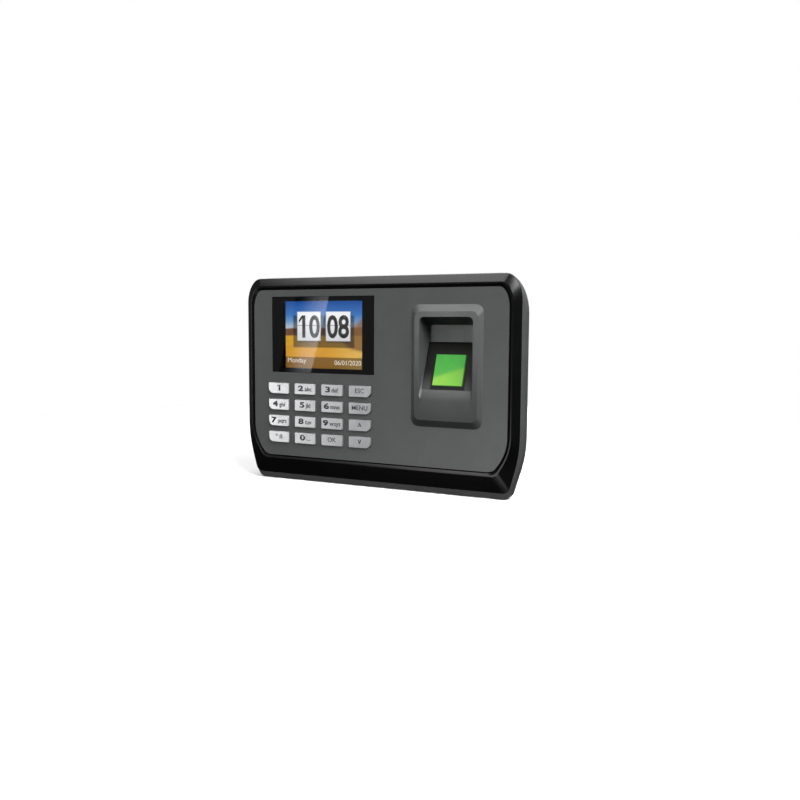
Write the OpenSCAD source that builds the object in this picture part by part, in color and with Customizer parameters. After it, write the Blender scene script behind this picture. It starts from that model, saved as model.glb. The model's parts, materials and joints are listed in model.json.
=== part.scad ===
// Wall-mounted fingerprint terminal: colour display and sixteen keys on the left, hooded optical
// fingerprint sensor on the right, two-part case hung on a steel wall bracket.
// The origin is the middle of the bracket's screw pattern, on the wall. X runs to the right, Z up,
// and the front looks along -Y. Depths are counted from the front plate's face towards the wall.

/* [Body] */
// Width over the rear shell's rim
body_w = 194; // [190:1:240]
// Height over the rear shell's rim
body_h = 134; // [130:0.5:165]
// Wall to front plate face
body_d = 38; // [36:0.5:46]
// Thickness of the moulded case walls
wall = 2.4; // [1.8:0.1:3]
// Distance the rear shell draws in from rim to back, at the sides
shell_taper = 8; // [7.5:0.5:10]
// Gap between the shell's back and the wall
wall_gap = 0.6; // [0.3:0.1:1.5]

/* [Front bezel] */
// Side width of the black bevel
bevel_side = 4.2; // [3:0.1:6]
// Top height of the bevel
bevel_top = 5; // [4:0.5:8]
// Bottom height of the bevel
bevel_low = 10; // [8:0.2:14]
// Depth the bevel falls from crest to its outer edge
bevel_drop = 3.4; // [2.5:0.1:4]
// Height of the crest above the plate
crest_rise = 0.4; // [0.2:0.1:1]
// Width of the valley between crest and plate
valley_w = 2.5; // [1.5:0.1:3]

/* [Front plate] */
// Thickness of the plate
plate_t = 2; // [1.6:0.1:2.6]
// Gap all round the plate
plate_gap = 0.25; // [0.1:0.05:0.5]

/* [Display] */
// Display centre, left of the middle
display_x = -36.6; // [-38:0.1:-34]
// Display centre above the middle
display_z = 29.3; // [28:0.1:31]
// Width of the window lens
lens_w = 75.6; // [74:0.1:78]
// Height of the window lens
lens_h = 49.4; // [48:0.1:51]
// Thickness of the window lens
lens_t = 1.4; // [1:0.1:1.5]
// Width of the lit picture
picture_w = 57.6; // [50:0.1:58]
// Height of the lit picture
picture_h = 43.2; // [38:0.1:43.5]

/* [Keys] */
// Key width
key_w = 15.5; // [12:0.1:19]
// Key height
key_h = 7; // [5:0.1:8.5]
// Column pitch
key_pitch_x = 20.2; // [20:0.1:21]
// Row pitch
key_pitch_z = 10.8; // [10.7:0.1:11]
// Keypad centre, left of the middle
keypad_x = -38.6; // [-41:0.1:-37]
// Keypad centre below the middle
keypad_z = -22.2; // [-22.5:0.1:-21.5]
// Height of a key above the plate
key_rise = 1.2; // [0.8:0.1:2]
// Key travel
key_travel = 1.2; // [0.6:0.1:1.4]
// Gap round a key in the plate
key_gap = 0.25; // [0.15:0.05:0.4]

/* [Fingerprint sensor] */
// Hood centre, right of the middle
hood_x = 50; // [49:0.1:52]
// Hood centre above the middle
hood_z = 11.2; // [10:0.1:12]
// Hood width at the plate
hood_w = 46.2; // [44:0.1:50]
// Hood height at the plate
hood_h = 74.2; // [70:0.1:78]
// Height of the hood above the plate
hood_rise = 2; // [1.5:0.1:4]
// Width of the well's mouth
well_w = 34.6; // [33:0.1:37]
// Depth of the well's back below the plate
well_d = 12; // [10:0.5:14]
// Side of the square glass window
window_side = 19.8; // [16:0.1:22]
// Lean of the glass from upright, in degrees
glass_tilt = 21.3; // [18:0.1:24]

/* [Wall bracket] */
// Width of the bracket plate
bracket_w = 110; // [100:1:112]
// Height of the bracket plate
bracket_h = 88; // [80:1:90]
// Thickness of the bracket steel
bracket_t = 1.2; // [1:0.1:2]
// Screw spacing across
screw_span_x = 80; // [70:1:84]
// Screw spacing up
screw_span_z = 70; // [66:1:76]
// Radius of the wall screw holes
screw_hole_r = 2.25; // [1.75:0.05:2.75]
// Distance the case lifts off its hooks
lift = 6; // [5:0.5:6.5]

/* [Hidden] */
key_names = [
    ["key_1", "key_2", "key_3", "key_esc"],
    ["key_4", "key_5", "key_6", "key_menu"],
    ["key_7", "key_8", "key_9", "key_up"],
    ["key_star", "key_0", "key_ok", "key_down"]
];
$fn = 48;
fit_gap = 0.1;
cut = 1;

// Case outlines, each [half width, top, bottom, top corner x and z, lower cut x and z].
case_z = -0.5;
case_top = case_z + body_h / 2;
case_low = case_z - body_h / 2;
rim_in = 1.5;
rim_top_in = 0.4;
rim_low_in = 4;
edge_half = body_w / 2 - rim_in;
edge_top = case_top - rim_top_in;
edge_low = case_low + rim_low_in;
crest_half = edge_half - bevel_side;
crest_top = edge_top - bevel_top;
crest_low = edge_low + bevel_low;
plate_in = valley_w + plate_gap;
outline_rim = [body_w / 2, case_top, case_low, 15, 24, 8.3, 26.5];
outline_lip = [edge_half + 0.15, edge_top + 0.1, edge_low - 0.2, 10, 16, 6.8, 24];
outline_edge = [edge_half, edge_top, edge_low, 10, 16, 6.6, 24];
outline_crest = [crest_half, crest_top, crest_low, 8, 14, 9.4, 15];
outline_valley = inset(outline_crest, valley_w);
outline_plate = inset(outline_crest, plate_in);
skirt_in = 1.2;
skirt_gap = 0.3;
outline_skirt = [edge_half - skirt_in, edge_top - skirt_in, edge_low + skirt_in, 14, 23, 6.2, 23];
ledge_side = 9;
ledge_end = 4.6;
outline_ledge = [
    crest_half - ledge_side, crest_top - ledge_end, crest_low + ledge_end, 4, 8, 4, 10
];
outline_back = inset(outline_rim, shell_taper);
corner_round = 4;
knee_round = 11;

// Skins of the bezel and shell: how far each ring is drawn in, and the depth of the small steps.
crest_in = 0.45;
crest_out = 0.2;
crest_step = 0.12;
edge_in = 0.12;
edge_step = 0.4;
groove_in = 0.6;
groove_low_in = 0.9;
rim_in_front = 0.2;
rim_step = 0.5;
shoulder_in = 1.6;
shoulder_step = 1.5;
back_in = 1.2;
bowl_in = 0.4;

// Depths below the plate's face.
edge_depth = bevel_drop - crest_rise;
valley_depth = 0.9;
ledge_t = 2.2;
ledge_back = plate_t + ledge_t;
skirt_back = 9;
rim_front = edge_depth + 2.5;
rim_back = 12;
shell_back = body_d - wall_gap;
floor_depth = shell_back - 1 - wall;
recess_depth = body_d - 4;
recess_floor = recess_depth - wall;

// Case screws: [x, z] of each, drawn in from the outline's corners.
screw_side_in = 14;
screw_top_in = 25;
screw_low_in = 27;
case_screw_at = [
    for (x = [-1, 1], z = [case_top - screw_top_in, case_low + screw_low_in])
        [x * (body_w / 2 - screw_side_in), z]
];
boss_r = 3.9;
boss_meet = 12;
head_seat = 18;
screw_r = 1.5;
head_r = 2.6;
head_h = 2;
bore_gap = 0.2;
head_gap = 0.45;
recess_r = 0.6;
recess_w = 0.6;
screw_clear = 0.6;
// A length that runs past the case's lower edge from anywhere near it.
past_low = 40;

// Display stack.
ledge_lens = 1.75;
lens_ledge_in = 2.4;
frame_back = 3.1;
gasket_t = 0.3;
gasket_in = 0.3;
gasket_side = lens_ledge_in - 0.4;
lens_front = ledge_lens - gasket_t - lens_t;
frame_side = 2.5;
frame_end = 2;
panel_side = 2.5;
panel_end = 2.3;
tray_side = 4.5;
tray_end = 3.4;
panel_gap = 0.1;
ribbon_w = 24;
ribbon_t = 0.2;
ribbon_clear = 2.4;
ribbon_drop = 6;
ribbon_reach = 16;
ribbon_foot = 6;
panel_t = 1.3;
tray_t = 3.2;
tray_back = frame_back + tray_t;

// Keypad stack.
flange_t = 0.8;
flange_out = 0.8;
flange_front = plate_t + fit_gap;
flange_back = flange_front + flange_t;
dome_rest = 2.5;
mat_front = flange_back + dome_rest + key_travel;
mat_t = 0.9;
pad_back = mat_front + mat_t;
pad_t = 1.6;
contact_t = 0.1;
dome_r = 2.9;
dome_web = 0.6;
keypad_w = 3 * key_pitch_x + key_w;
keypad_h = 3 * key_pitch_z + key_h;
mat_margin = 1.6;
dome_in = 0.7;
dome_roof = 1.2;
pill_r = 1;
contact_in = 0.4;
key_cut = 3.4;
key_corner = 0.5;
key_chamfer = 1;
key_chamfer_tilt = 35;
strip_w = 12;
strip_h = 5;
mat_end = 4;

// Sensor block, in a frame whose origin is the middle of the glass.
glass_depth = 5.4;
glass_z = hood_z - 2.45;
block_w = 33;
block_low = -12.6;
block_top = 18.2;
block_h = block_top - block_low;
block_d = 14;
block_wall = 2;
glass_proud = 0.4;
glass_t = 6;
sensor_pcb_t = 1.6;
hood_top = hood_z + hood_h / 2;
hood_low = hood_z - hood_h / 2;
hood_side_in = 2.7;
hood_end_in = 4.2;
well_top = hood_top - 7.3;
well_low = glass_z - 17.8;
lip_depth = 0.6;
lip_z = glass_z - 12;
slope = tan(glass_tilt);
back_low = glass_z + (well_d - glass_depth) / slope;
well_back_top = well_top - 4.8;
sleeve_wall = 2;
sleeve_low = lip_z - 5;
sleeve_top = well_top + sleeve_wall;
sleeve_back = well_d + sleeve_wall;
well_overcut = 0.5;
well_foot = 2.4;
well_r = 3;
well_mid_r = 2.6;
well_end_r = 1.5;
well_mid_in = 0.2;
well_mid_drop = 0.9;
well_end_in = 1.6;
hood_face_r = 4;
hood_foot_r = 5;
hood_edge_step = 0.3;
hood_edge_side = 0.25;
hood_edge_end = 0.5;
glass_web = 1.6;
cam_side = 10;
cam_t = 3;
cam_lens_r = 3.6;
led_r = 1.5;
led_h = 4.5;
led_x = 11;
led_z = 8;
sensor_screw_in = 3;
sensor_screw_r = 1.6;
sensor_screw_t = 1.3;
cable_w = 10;
cable_t = 0.6;
cable_bow = 5;
cable_fall = 14;

// Main board and what stands on it.
socket_low_h = 1;
board_depth = 14;
board_t = 1.6;
board_back = board_depth + board_t;
board_left = -78.5;
board_right = 22;
board_top = 50;
board_low = -51;
board_foot_right = 78.5;
board_foot_top = -18;
board_screw_at = [[-70, 44], [14, 44], [-70, -44], [70, -38]];
board_screw_r = 1.25;
board_screw_head_r = 2.4;
board_screw_head_t = 1.6;
board_screw_len = 8;
board_post_r = 3;

// Parts on the board: [x, z, width, height] or [x, z, radius].
processor_at = [-20, 14, 20, 20];
processor_t = 1.4;
chip_at = [[-48, 20, 12, 8], [-48, 2, 12, 8], [4, 20, 8, 6], [2, -2, 6, 5]];
chip_t = 1.2;
capacitor_at = [[10, -33, 4], [-2, -33, 4], [-13, -33, 3.2]];
capacitor_h = 9;
cell_at = [-46, -28];
cell_r = 10;
cell_t = 3.2;
cell_gap = 0.1;
holder_side = 24;
holder_t = 4.4;
holder_floor = 1;
socket_w = 14;
socket_long = 5;
socket_h_small = 3;
socket_drop = 8;
power_socket_at = [-24, -40, 10, 6];

// Ports in a bay in the underside.
bay_x = 40;
bay_w = 40;
bay_front = board_depth - 1;
bay_back = 30;
bay_roof = 9;
bay_roof_z = case_low + bay_roof;
usb_x = bay_x + 8;
usb_w = 13.2;
usb_t = 5.8;
usb_l = 14;
jack_x = bay_x - 10;
jack_w = 9;
jack_t = 11;
jack_l = 14;
jack_bore_r = 3.15;
jack_bore_d = 10;
jack_pin_in = 1;
usb_shell_t = 0.35;
usb_end_t = 1.5;
tongue_w = 11;
tongue_from = 3.3;
tongue_t = 1.8;
jack_pin_r = 1;
port_gap = 0.3;
port_in = 0.5;
port_face = bay_roof_z + port_in;

// Speaker.
speaker_x = -71.5;
speaker_z = 8;
speaker_r = 11;
speaker_t = 4.2;
slot_w = 1.6;
slot_l = 14;
cup_wall = 1.6;
cup_h = 3;
ring_t = 1;
ring_side = 2;
cone_in = 1.2;
cone_deep = 2;
cone_r = 2;
magnet_r = 6;
magnet_t = 2;
lead_t = 0.9;
lead_from = 4;
slot_pitch = 3.4;
slot_count = 5;
socket_z = -15;
socket_h = 5;

// Bracket: hooks bent out of the plate, and a tab that holds the lock screw.
hook_w = 10;
hook_h = 6;
hook_at = [[44, 14], [-44, 14], [44, -24], [-44, -24]];
hook_gap = 0.4;
hook_side = 1;
window_w = 52;
window_low = -14;
window_top = 20;
hook_lip_back = wall + hook_gap + (body_d - recess_depth);
slot_room = hook_h + 1.5;
recess_gap = 2;
tab_w = 16;
tab_out = 11;
tab_z = -50;
recess_top = bracket_h / 2 + recess_gap;
recess_low = -bracket_h / 2 - recess_gap - lift;
tab_gap = 0.4;
notch_w = tab_w + 6;
notch_out = tab_out + 2;
lock_y = -7;
lock_r = 1.5;
lock_len = 6;
lock_gap = 0.08;
lock_head_r = 2.9;
lock_head_t = 2.2;
lock_socket_r = 1.3;
lock_socket_t = 1.4;
lock_hole_top = tab_z + bracket_t + tab_gap + lock_len + 1;

// ---- Geometry helpers ----

function depth_y(d) = d - body_d;

// The outline drawn in by one distance all round.
function inset(o, by) = [
    o[0] - by, o[1] - by, o[2] + by,
    max(1, o[3] - by * 0.6), max(1, o[4] - by * 0.6), max(1, o[5] - by * 0.3), max(2, o[6] - by)
];

function arc(cx, cz, rx, rz, from, to, n) =
    [for (i = [0:n]) let (a = from + (to - from) * i / n) [cx + rx * cos(a), cz + rz * sin(a)]];

// Quadratic curve from a to c, drawn towards b.
function curve(a, b, c, n) =
    [for (i = [0:n]) let (t = i / n) a * (1 - t) * (1 - t) + b * 2 * t * (1 - t) + c * t * t];

// Right half of a case outline, from the bottom edge round to the top edge.
function right_side(o) =
    let (
        low = [o[0] - o[5], o[2]],
        knee = [o[0], o[2] + o[6]],
        run = norm(knee - low),
        bend = min(knee_round, run * 0.6),
        turn = low + (knee - low) * (corner_round / run)
    ) concat(
        curve([low[0] - corner_round, o[2]], low, turn, 6),
        curve(knee + (low - knee) * (bend / run), knee, knee + [0, bend], 8),
        arc(o[0] - o[3], o[1] - o[4], o[3], o[4], 0, 90, 10)
    );

function case_outline(o) =
    let (right = right_side(o), last = len(right) - 1)
    concat(right, [for (i = [last:-1:0]) [-right[i][0], right[i][1]]]);

function box_outline(x, z0, z1, r, n = 5) = concat(
    arc(x - r, z0 + r, r, r, -90, 0, n), arc(x - r, z1 - r, r, r, 0, 90, n),
    arc(r - x, z1 - r, r, r, 90, 180, n), arc(r - x, z0 + r, r, r, 180, 270, n));

// Closed skin through rings of equal length, listed from front to back as [depth, outline].
module loft(rings) {
    n = len(rings[0][1]);
    last = len(rings) - 1;
    points = [for (ring = rings) for (p = ring[1]) [p[0], depth_y(ring[0]), p[1]]];
    sides = [for (k = [0:last - 1]) for (i = [0:n - 1])
        let (j = (i + 1) % n) each [
            [k * n + i, k * n + j, (k + 1) * n + j],
            [k * n + i, (k + 1) * n + j, (k + 1) * n + i]
        ]];
    front = [for (i = [n - 1:-1:0]) i];
    back = [for (i = [0:n - 1]) last * n + i];
    polyhedron(points, concat(sides, [front, back]), convexity = 6);
}

// A flat shape in X and Z, given thickness from one depth to another.
module slab(d0, d1) {
    translate([0, depth_y(d1), 0])
        rotate([90, 0, 0])
            linear_extrude(d1 - d0) children();
}

module block(x, z, w, h, d0, d1) {
    translate([x - w / 2, depth_y(d0), z - h / 2]) cube([w, d1 - d0, h]);
}

// A round bar along Y between two depths.
module bar(x, z, r, d0, d1) {
    translate([x, depth_y(d0), z]) rotate([-90, 0, 0]) cylinder(r = r, h = d1 - d0);
}

// A side view in depth and Z, given width along X about the middle.
module side_profile(w, points) {
    rotate([90, 0, 90])
        translate([0, 0, -w / 2])
            linear_extrude(w) polygon(points);
}

module sensor_frame() {
    translate([hood_x, depth_y(glass_depth), glass_z]) rotate([-glass_tilt, 0, 0]) children();
}

module ring_slab(w, h, side, d0, d1) {
    slab(d0, d1) difference() {
        square([w, h], center = true);
        square([w - 2 * side, h - 2 * side], center = true);
    }
}

// ---- Wall bracket ----

module hook(x, z) {
    arm = depth_y(body_d) - hook_lip_back - bracket_t;
    translate([x - hook_w / 2, arm, z]) cube([hook_w, -arm, bracket_t]);
    translate([x - hook_w / 2, arm, z]) cube([hook_w, bracket_t, hook_h]);
}

module wall_bracket() {
    color("silver") difference() {
        union() {
            translate([-bracket_w / 2, -bracket_t, -bracket_h / 2])
                cube([bracket_w, bracket_t, bracket_h]);
            for (at = hook_at) hook(at[0], at[1]);
            translate([-tab_w / 2, -bracket_t, tab_z])
                cube([tab_w, bracket_t, 1 - bracket_h / 2 - tab_z]);
            translate([-tab_w / 2, -tab_out, tab_z]) cube([tab_w, tab_out, bracket_t]);
        }
        for (x = [-1, 1], z = [-1, 1])
            translate([x * screw_span_x / 2, -bracket_t - cut, z * screw_span_z / 2])
                rotate([-90, 0, 0]) cylinder(r = screw_hole_r, h = bracket_t + 2 * cut);
        for (at = hook_at)
            translate([at[0] - hook_w / 2 - hook_side, -bracket_t - fit_gap, at[1] - hook_h - 1])
                cube([hook_w + 2 * hook_side, bracket_t + cut, hook_h + 1]);
        translate([-window_w / 2, -bracket_t - cut, window_low])
            cube([window_w, bracket_t + 2 * cut, window_top - window_low]);
        translate([0, lock_y, tab_z - cut])
            cylinder(r = lock_r + fit_gap, h = bracket_t + 2 * cut);
    }
}

module lock_screw() {
    color("silver") translate([0, lock_y, tab_z]) {
        difference() {
            translate([0, 0, -lock_head_t]) cylinder(r = lock_head_r, h = lock_head_t);
            translate([0, 0, -lock_head_t - cut])
                cylinder(r = lock_socket_r, h = cut + lock_socket_t, $fn = 6);
        }
        cylinder(r = lock_r, h = bracket_t + tab_gap + lock_len);
    }
}

// ---- Case ----

module bezel_ring() {
    difference() {
        union() {
            loft([
                [-crest_rise, case_outline(inset(outline_crest, crest_in))],
                [-crest_rise + crest_step, case_outline(inset(outline_crest, -crest_out))],
                [edge_depth - edge_step, case_outline(inset(outline_edge, edge_in))],
                [edge_depth, case_outline(outline_edge)]
            ]);
            loft([
                [edge_depth - fit_gap, case_outline(outline_skirt)],
                [skirt_back, case_outline(outline_skirt)]
            ]);
        }
        loft([
            [-crest_rise - cut, case_outline(inset(outline_crest, groove_in))],
            [-crest_rise + crest_step, case_outline(inset(outline_crest, groove_low_in))],
            [valley_depth, case_outline(outline_valley)],
            [plate_t, case_outline(outline_valley)]
        ]);
        loft([
            [plate_t - cut, case_outline(outline_ledge)],
            [ledge_back + cut, case_outline(outline_ledge)]
        ]);
        loft([
            [ledge_back, case_outline(inset(outline_skirt, wall))],
            [skirt_back + cut, case_outline(inset(outline_skirt, wall))]
        ]);
    }
}

module front_bezel() {
    color([0.05, 0.05, 0.055]) difference() {
        union() {
            bezel_ring();
            for (at = case_screw_at) bar(at[0], at[1], boss_r, plate_t + fit_gap, boss_meet);
        }
        for (at = case_screw_at) bar(at[0], at[1], screw_r, ledge_back, boss_meet + cut);
    }
}

function key_at(row, col) = [
    keypad_x + (col - 1.5) * key_pitch_x,
    keypad_z + (1.5 - row) * key_pitch_z
];

// Key outline: the first column has its lower left corner rounded off, the last its lower right.
module key_shape(col, grow) {
    w = key_w / 2 + grow;
    h = key_h / 2 + grow;
    r = key_corner;
    right = col == 3 ? key_cut : r;
    left = col == 0 ? key_cut : r;
    polygon(concat(
        arc(w - right, right - h, right, right, -90, 0, 6), arc(w - r, h - r, r, r, 0, 90, 3),
        arc(r - w, h - r, r, r, 90, 180, 3), arc(left - w, left - h, left, left, 180, 270, 6)
    ));
}

module front_plate() {
    color([0.33, 0.34, 0.34]) difference() {
        union() {
            slab(0, plate_t) polygon(case_outline(outline_plate));
            block(display_x, display_z, lens_w + 2 * frame_side, lens_h + 2 * frame_end,
                plate_t - fit_gap, frame_back);
        }
        block(display_x, display_z, lens_w + 2 * fit_gap, lens_h + 2 * fit_gap, -cut, ledge_lens);
        block(display_x, display_z, lens_w - 2 * lens_ledge_in, lens_h - 2 * lens_ledge_in,
            ledge_lens - cut, frame_back + cut);
        for (row = [0:3], col = [0:3])
            translate([key_at(row, col)[0], 0, key_at(row, col)[1]])
                slab(-cut, plate_t + cut) key_shape(col, key_gap);
        translate([hood_x, 0, 0])
            slab(-cut, plate_t + cut) translate([0, (sleeve_low + sleeve_top) / 2])
                square([well_w + 2 * sleeve_wall + 2 * fit_gap, sleeve_top - sleeve_low + 2 * fit_gap],
                    center = true);
    }
}

module shell_fills() {
    for (at = case_screw_at) bar(at[0], at[1], boss_r, boss_meet, body_d);
    for (at = board_screw_at) bar(at[0], at[1], board_post_r, board_back, body_d);
    block(0, (recess_top + recess_low) / 2, bracket_w + 2 * (recess_gap + wall),
        recess_top - recess_low + 2 * wall, recess_floor, body_d);
    block(0, lock_hole_top + 1 - past_low / 2, notch_w + 2 * wall, past_low,
        body_d - notch_out - wall, body_d);
    block(bay_x, bay_roof_z + wall - past_low / 2, bay_w + 2 * wall, past_low,
        bay_front - wall, bay_back + wall);
    difference() {
        bar(speaker_x, speaker_z, speaker_r + cup_wall, floor_depth - cup_h, body_d);
        bar(speaker_x, speaker_z, speaker_r + fit_gap, floor_depth - cup_h - cut, floor_depth);
    }
}

module shell_cuts() {
    // Recess for the bracket, and the slots its hooks reach through.
    block(0, (recess_top + recess_low) / 2, bracket_w + 2 * recess_gap,
        recess_top - recess_low, recess_depth, body_d + cut);
    for (at = hook_at)
        translate([at[0] - hook_w / 2 - hook_side, depth_y(recess_floor) - cut,
            at[1] + bracket_t - slot_room])
            cube([hook_w + 2 * hook_side, wall + 2 * cut, slot_room]);
    // Notch under the lock tab, with the hole its screw stands in.
    block(0, tab_z + bracket_t + tab_gap - past_low / 2, notch_w, past_low,
        body_d - notch_out, body_d + cut);
    translate([0, lock_y, tab_z]) cylinder(r = lock_r + lock_gap, h = lock_hole_top - tab_z);
    // Port bay, and the mouths in its roof.
    block(bay_x, bay_roof_z - past_low / 2, bay_w, past_low, bay_front, bay_back);
    block(usb_x, bay_roof_z, usb_w + 2 * port_gap, 3 * wall, board_back - port_gap,
        board_back + usb_t + port_gap);
    block(jack_x, bay_roof_z, jack_w + 2 * port_gap, 3 * wall, board_back - port_gap,
        board_back + jack_t + port_gap);
    for (at = case_screw_at) {
        bar(at[0], at[1], head_r + head_gap, head_seat, body_d + cut);
        bar(at[0], at[1], screw_r + bore_gap, boss_meet - cut, head_seat + cut);
    }
    for (at = board_screw_at)
        bar(at[0], at[1], board_screw_r, board_back - cut, board_back + board_screw_len);
    for (i = [0:slot_count - 1])
        block(speaker_x, speaker_z + (i - (slot_count - 1) / 2) * slot_pitch, slot_l, slot_w,
            floor_depth - cut, body_d + cut);
}

module rear_shell() {
    color([0.3, 0.31, 0.31]) difference() {
        loft([
            [edge_depth + fit_gap, case_outline(outline_lip)],
            [rim_front, case_outline(inset(outline_rim, rim_in_front))],
            [rim_front + rim_step, case_outline(outline_rim)],
            [rim_back, case_outline(outline_rim)],
            [rim_back + shoulder_step, case_outline(inset(outline_rim, shoulder_in))],
            [shell_back - back_in, case_outline(outline_back)],
            [shell_back, case_outline(inset(outline_back, back_in))]
        ]);
        difference() {
            loft([
                [edge_depth - cut, case_outline(inset(outline_skirt, -skirt_gap))],
                [skirt_back + skirt_gap, case_outline(inset(outline_skirt, -skirt_gap))],
                [rim_back, case_outline(inset(outline_rim, wall + bowl_in))],
                [floor_depth, case_outline(inset(outline_back, wall))]
            ]);
            shell_fills();
        }
        shell_cuts();
    }
}

module pan_screw(r, h_r, h_t, length) {
    rotate([-90, 0, 0]) {
        cylinder(r = r, h = length);
        difference() {
            translate([0, 0, -h_t]) cylinder(r = h_r, h = h_t);
            for (a = [0, 90])
                rotate([0, 0, a])
                    translate([-h_r * recess_r, -recess_w / 2, -h_t - cut])
                        cube([2 * h_r * recess_r, recess_w, cut + h_t / 2]);
        }
    }
}

module case_screws() {
    color("silver") for (at = case_screw_at)
        translate([at[0], depth_y(head_seat), at[1]])
            mirror([0, 1, 0]) pan_screw(screw_r, head_r, head_h, head_seat - ledge_back - screw_clear);
}

// ---- Display ----

module display_window() {
    color([0.03, 0.03, 0.04])
        block(display_x, display_z, lens_w, lens_h, lens_front, lens_front + lens_t);
}

module window_gasket() {
    color([0.1, 0.1, 0.1]) translate([display_x, 0, display_z])
        ring_slab(lens_w - 2 * gasket_in, lens_h - 2 * gasket_in, gasket_side,
            lens_front + lens_t, ledge_lens);
}

module lcd_panel() {
    color([0.2, 0.4, 0.8]) block(display_x, display_z, picture_w + 2 * panel_side,
        picture_h + 2 * panel_end, frame_back, frame_back + panel_t);
}

module backlight_tray() {
    color("white") difference() {
        block(display_x, display_z, picture_w + 2 * tray_side, picture_h + 2 * tray_end,
            frame_back + fit_gap, tray_back);
        block(display_x, display_z, picture_w + 2 * (panel_side + panel_gap),
            picture_h + 2 * (panel_end + panel_gap), -cut, frame_back + panel_t);
    }
}

// Flat ribbon from the tray's lower edge back to the main board.
module lcd_ribbon() {
    t = ribbon_t;
    z_top = display_z - picture_h / 2 - tray_end + ribbon_drop;
    z_low = z_top + ribbon_reach - ribbon_drop;
    near = tray_back + ribbon_clear;
    far = board_depth - socket_low_h - ribbon_t;
    color([0.75, 0.5, 0.15]) translate([display_x, 0, 0]) side_profile(ribbon_w, [
        [depth_y(tray_back), z_top], [depth_y(near), z_top],
        [depth_y(far), z_low], [depth_y(far), z_low + ribbon_foot],
        [depth_y(far + t), z_low + ribbon_foot], [depth_y(far + t), z_low - t],
        [depth_y(near + t), z_top - t], [depth_y(tray_back), z_top - t]
    ]);
}

// ---- Fingerprint sensor ----

module well(grow) {
    mouth = hood_rise + grow;
    translate([hood_x, 0, 0]) loft([
        [-mouth, box_outline(well_w / 2, well_low - grow * well_foot, well_top, well_r)],
        [lip_depth, box_outline(well_w / 2 - well_mid_in, lip_z, well_top - well_mid_drop, well_mid_r)],
        [well_d, box_outline(well_w / 2 - well_end_in, back_low, well_back_top, well_end_r)]
    ]);
}

module sensor_hood() {
    mid = (sleeve_low + sleeve_top) / 2;
    face_x = hood_w / 2 - hood_side_in;
    face_low = hood_low + hood_end_in;
    face_top = hood_top - hood_end_in;
    color([0.36, 0.37, 0.37]) difference() {
        union() {
            translate([hood_x, 0, 0]) loft([
                [-hood_rise, box_outline(face_x, face_low, face_top, hood_face_r)],
                [-hood_rise + hood_edge_step, box_outline(face_x + hood_edge_side,
                    face_low - hood_edge_end, face_top + hood_edge_end, hood_face_r)],
                [0, box_outline(hood_w / 2, hood_low, hood_top, hood_foot_r)]
            ]);
            block(hood_x, mid, well_w + 2 * sleeve_wall, sleeve_top - sleeve_low, -fit_gap, sleeve_back);
        }
        well(well_overcut);
        sensor_frame() translate([-block_w / 2 - fit_gap, -cut, block_low - fit_gap])
            cube([block_w + 2 * fit_gap, 2 * block_d, block_h + 2 * fit_gap]);
    }
}

module sensor_housing() {
    color([0.06, 0.06, 0.06]) sensor_frame() difference() {
        translate([-block_w / 2, 0, block_low]) cube([block_w, block_d, block_h]);
        translate([block_wall - block_w / 2, glass_t + glass_web, block_wall + block_low])
            cube([block_w - 2 * block_wall, block_d, block_h - 2 * block_wall]);
        translate([-window_side / 2 - fit_gap, -cut, -window_side / 2 - fit_gap])
            cube([window_side + 2 * fit_gap, block_d, window_side + 2 * fit_gap]);
    }
}

module prism() {
    color([0.3, 0.75, 0.3]) sensor_frame() side_profile(window_side, [
        [-glass_proud, -window_side / 2], [-glass_proud, window_side / 2],
        [glass_t * 0.3, window_side / 2], [glass_t, window_side * 0.3],
        [glass_t, -window_side / 2]
    ]);
}

module sensor_pcb() {
    color([0.1, 0.35, 0.2]) sensor_frame()
        translate([-block_w / 2, block_d, block_low]) cube([block_w, sensor_pcb_t, block_h]);
}

module sensor_camera() {
    color([0.12, 0.12, 0.13]) sensor_frame() {
        translate([-cam_side / 2, block_d - cam_t, -cam_side / 2])
            cube([cam_side, cam_t, cam_side]);
        translate([0, block_d - cam_t, 0]) rotate([90, 0, 0]) cylinder(r = cam_lens_r, h = cam_t);
    }
}

module sensor_leds() {
    color([0.7, 1, 0.7]) sensor_frame() for (x = [-1, 1], z = [-1, 1])
        translate([x * led_x, block_d, z * led_z]) rotate([90, 0, 0]) cylinder(r = led_r, h = led_h);
}

module sensor_screws() {
    color("silver") sensor_frame() for (x = [-1, 1],
        z = [block_low + sensor_screw_in, block_top - sensor_screw_in])
        translate([x * (block_w / 2 - sensor_screw_in), block_d + sensor_pcb_t, z])
            rotate([-90, 0, 0]) cylinder(r = sensor_screw_r, h = sensor_screw_t);
}

// Flat cable from the sensor board down to a socket on the main board.
module sensor_cable() {
    t = cable_t;
    top_y = block_d + sensor_pcb_t;
    start = [depth_y(glass_depth) + top_y * cos(glass_tilt), glass_z - top_y * sin(glass_tilt)];
    foot = [depth_y(board_back + socket_h_small), board_foot_top - socket_drop];
    bow = [start[0] + cable_bow, foot[1] + cable_fall];
    color([0.8, 0.8, 0.82]) translate([hood_x, 0, 0]) side_profile(cable_w, concat(
        curve(start, bow, foot, 10), curve(foot - [0, t], bow + [t, 0], start + [t, t / 3], 10)
    ));
}

// ---- Keys ----

module key(row, col) {
    block_side = 5;
    color([0.8, 0.81, 0.82]) translate([key_at(row, col)[0], 0, key_at(row, col)[1]]) {
        difference() {
            slab(-key_rise, flange_front + fit_gap) key_shape(col, 0);
            translate([-key_w, depth_y(-key_rise), -key_h / 2])
                rotate([key_chamfer_tilt, 0, 0]) translate([0, -block_side, -block_side])
                    cube([2 * key_w, block_side, block_side + key_chamfer]);
        }
        slab(flange_front, flange_back) key_shape(col, flange_out);
    }
}

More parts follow.
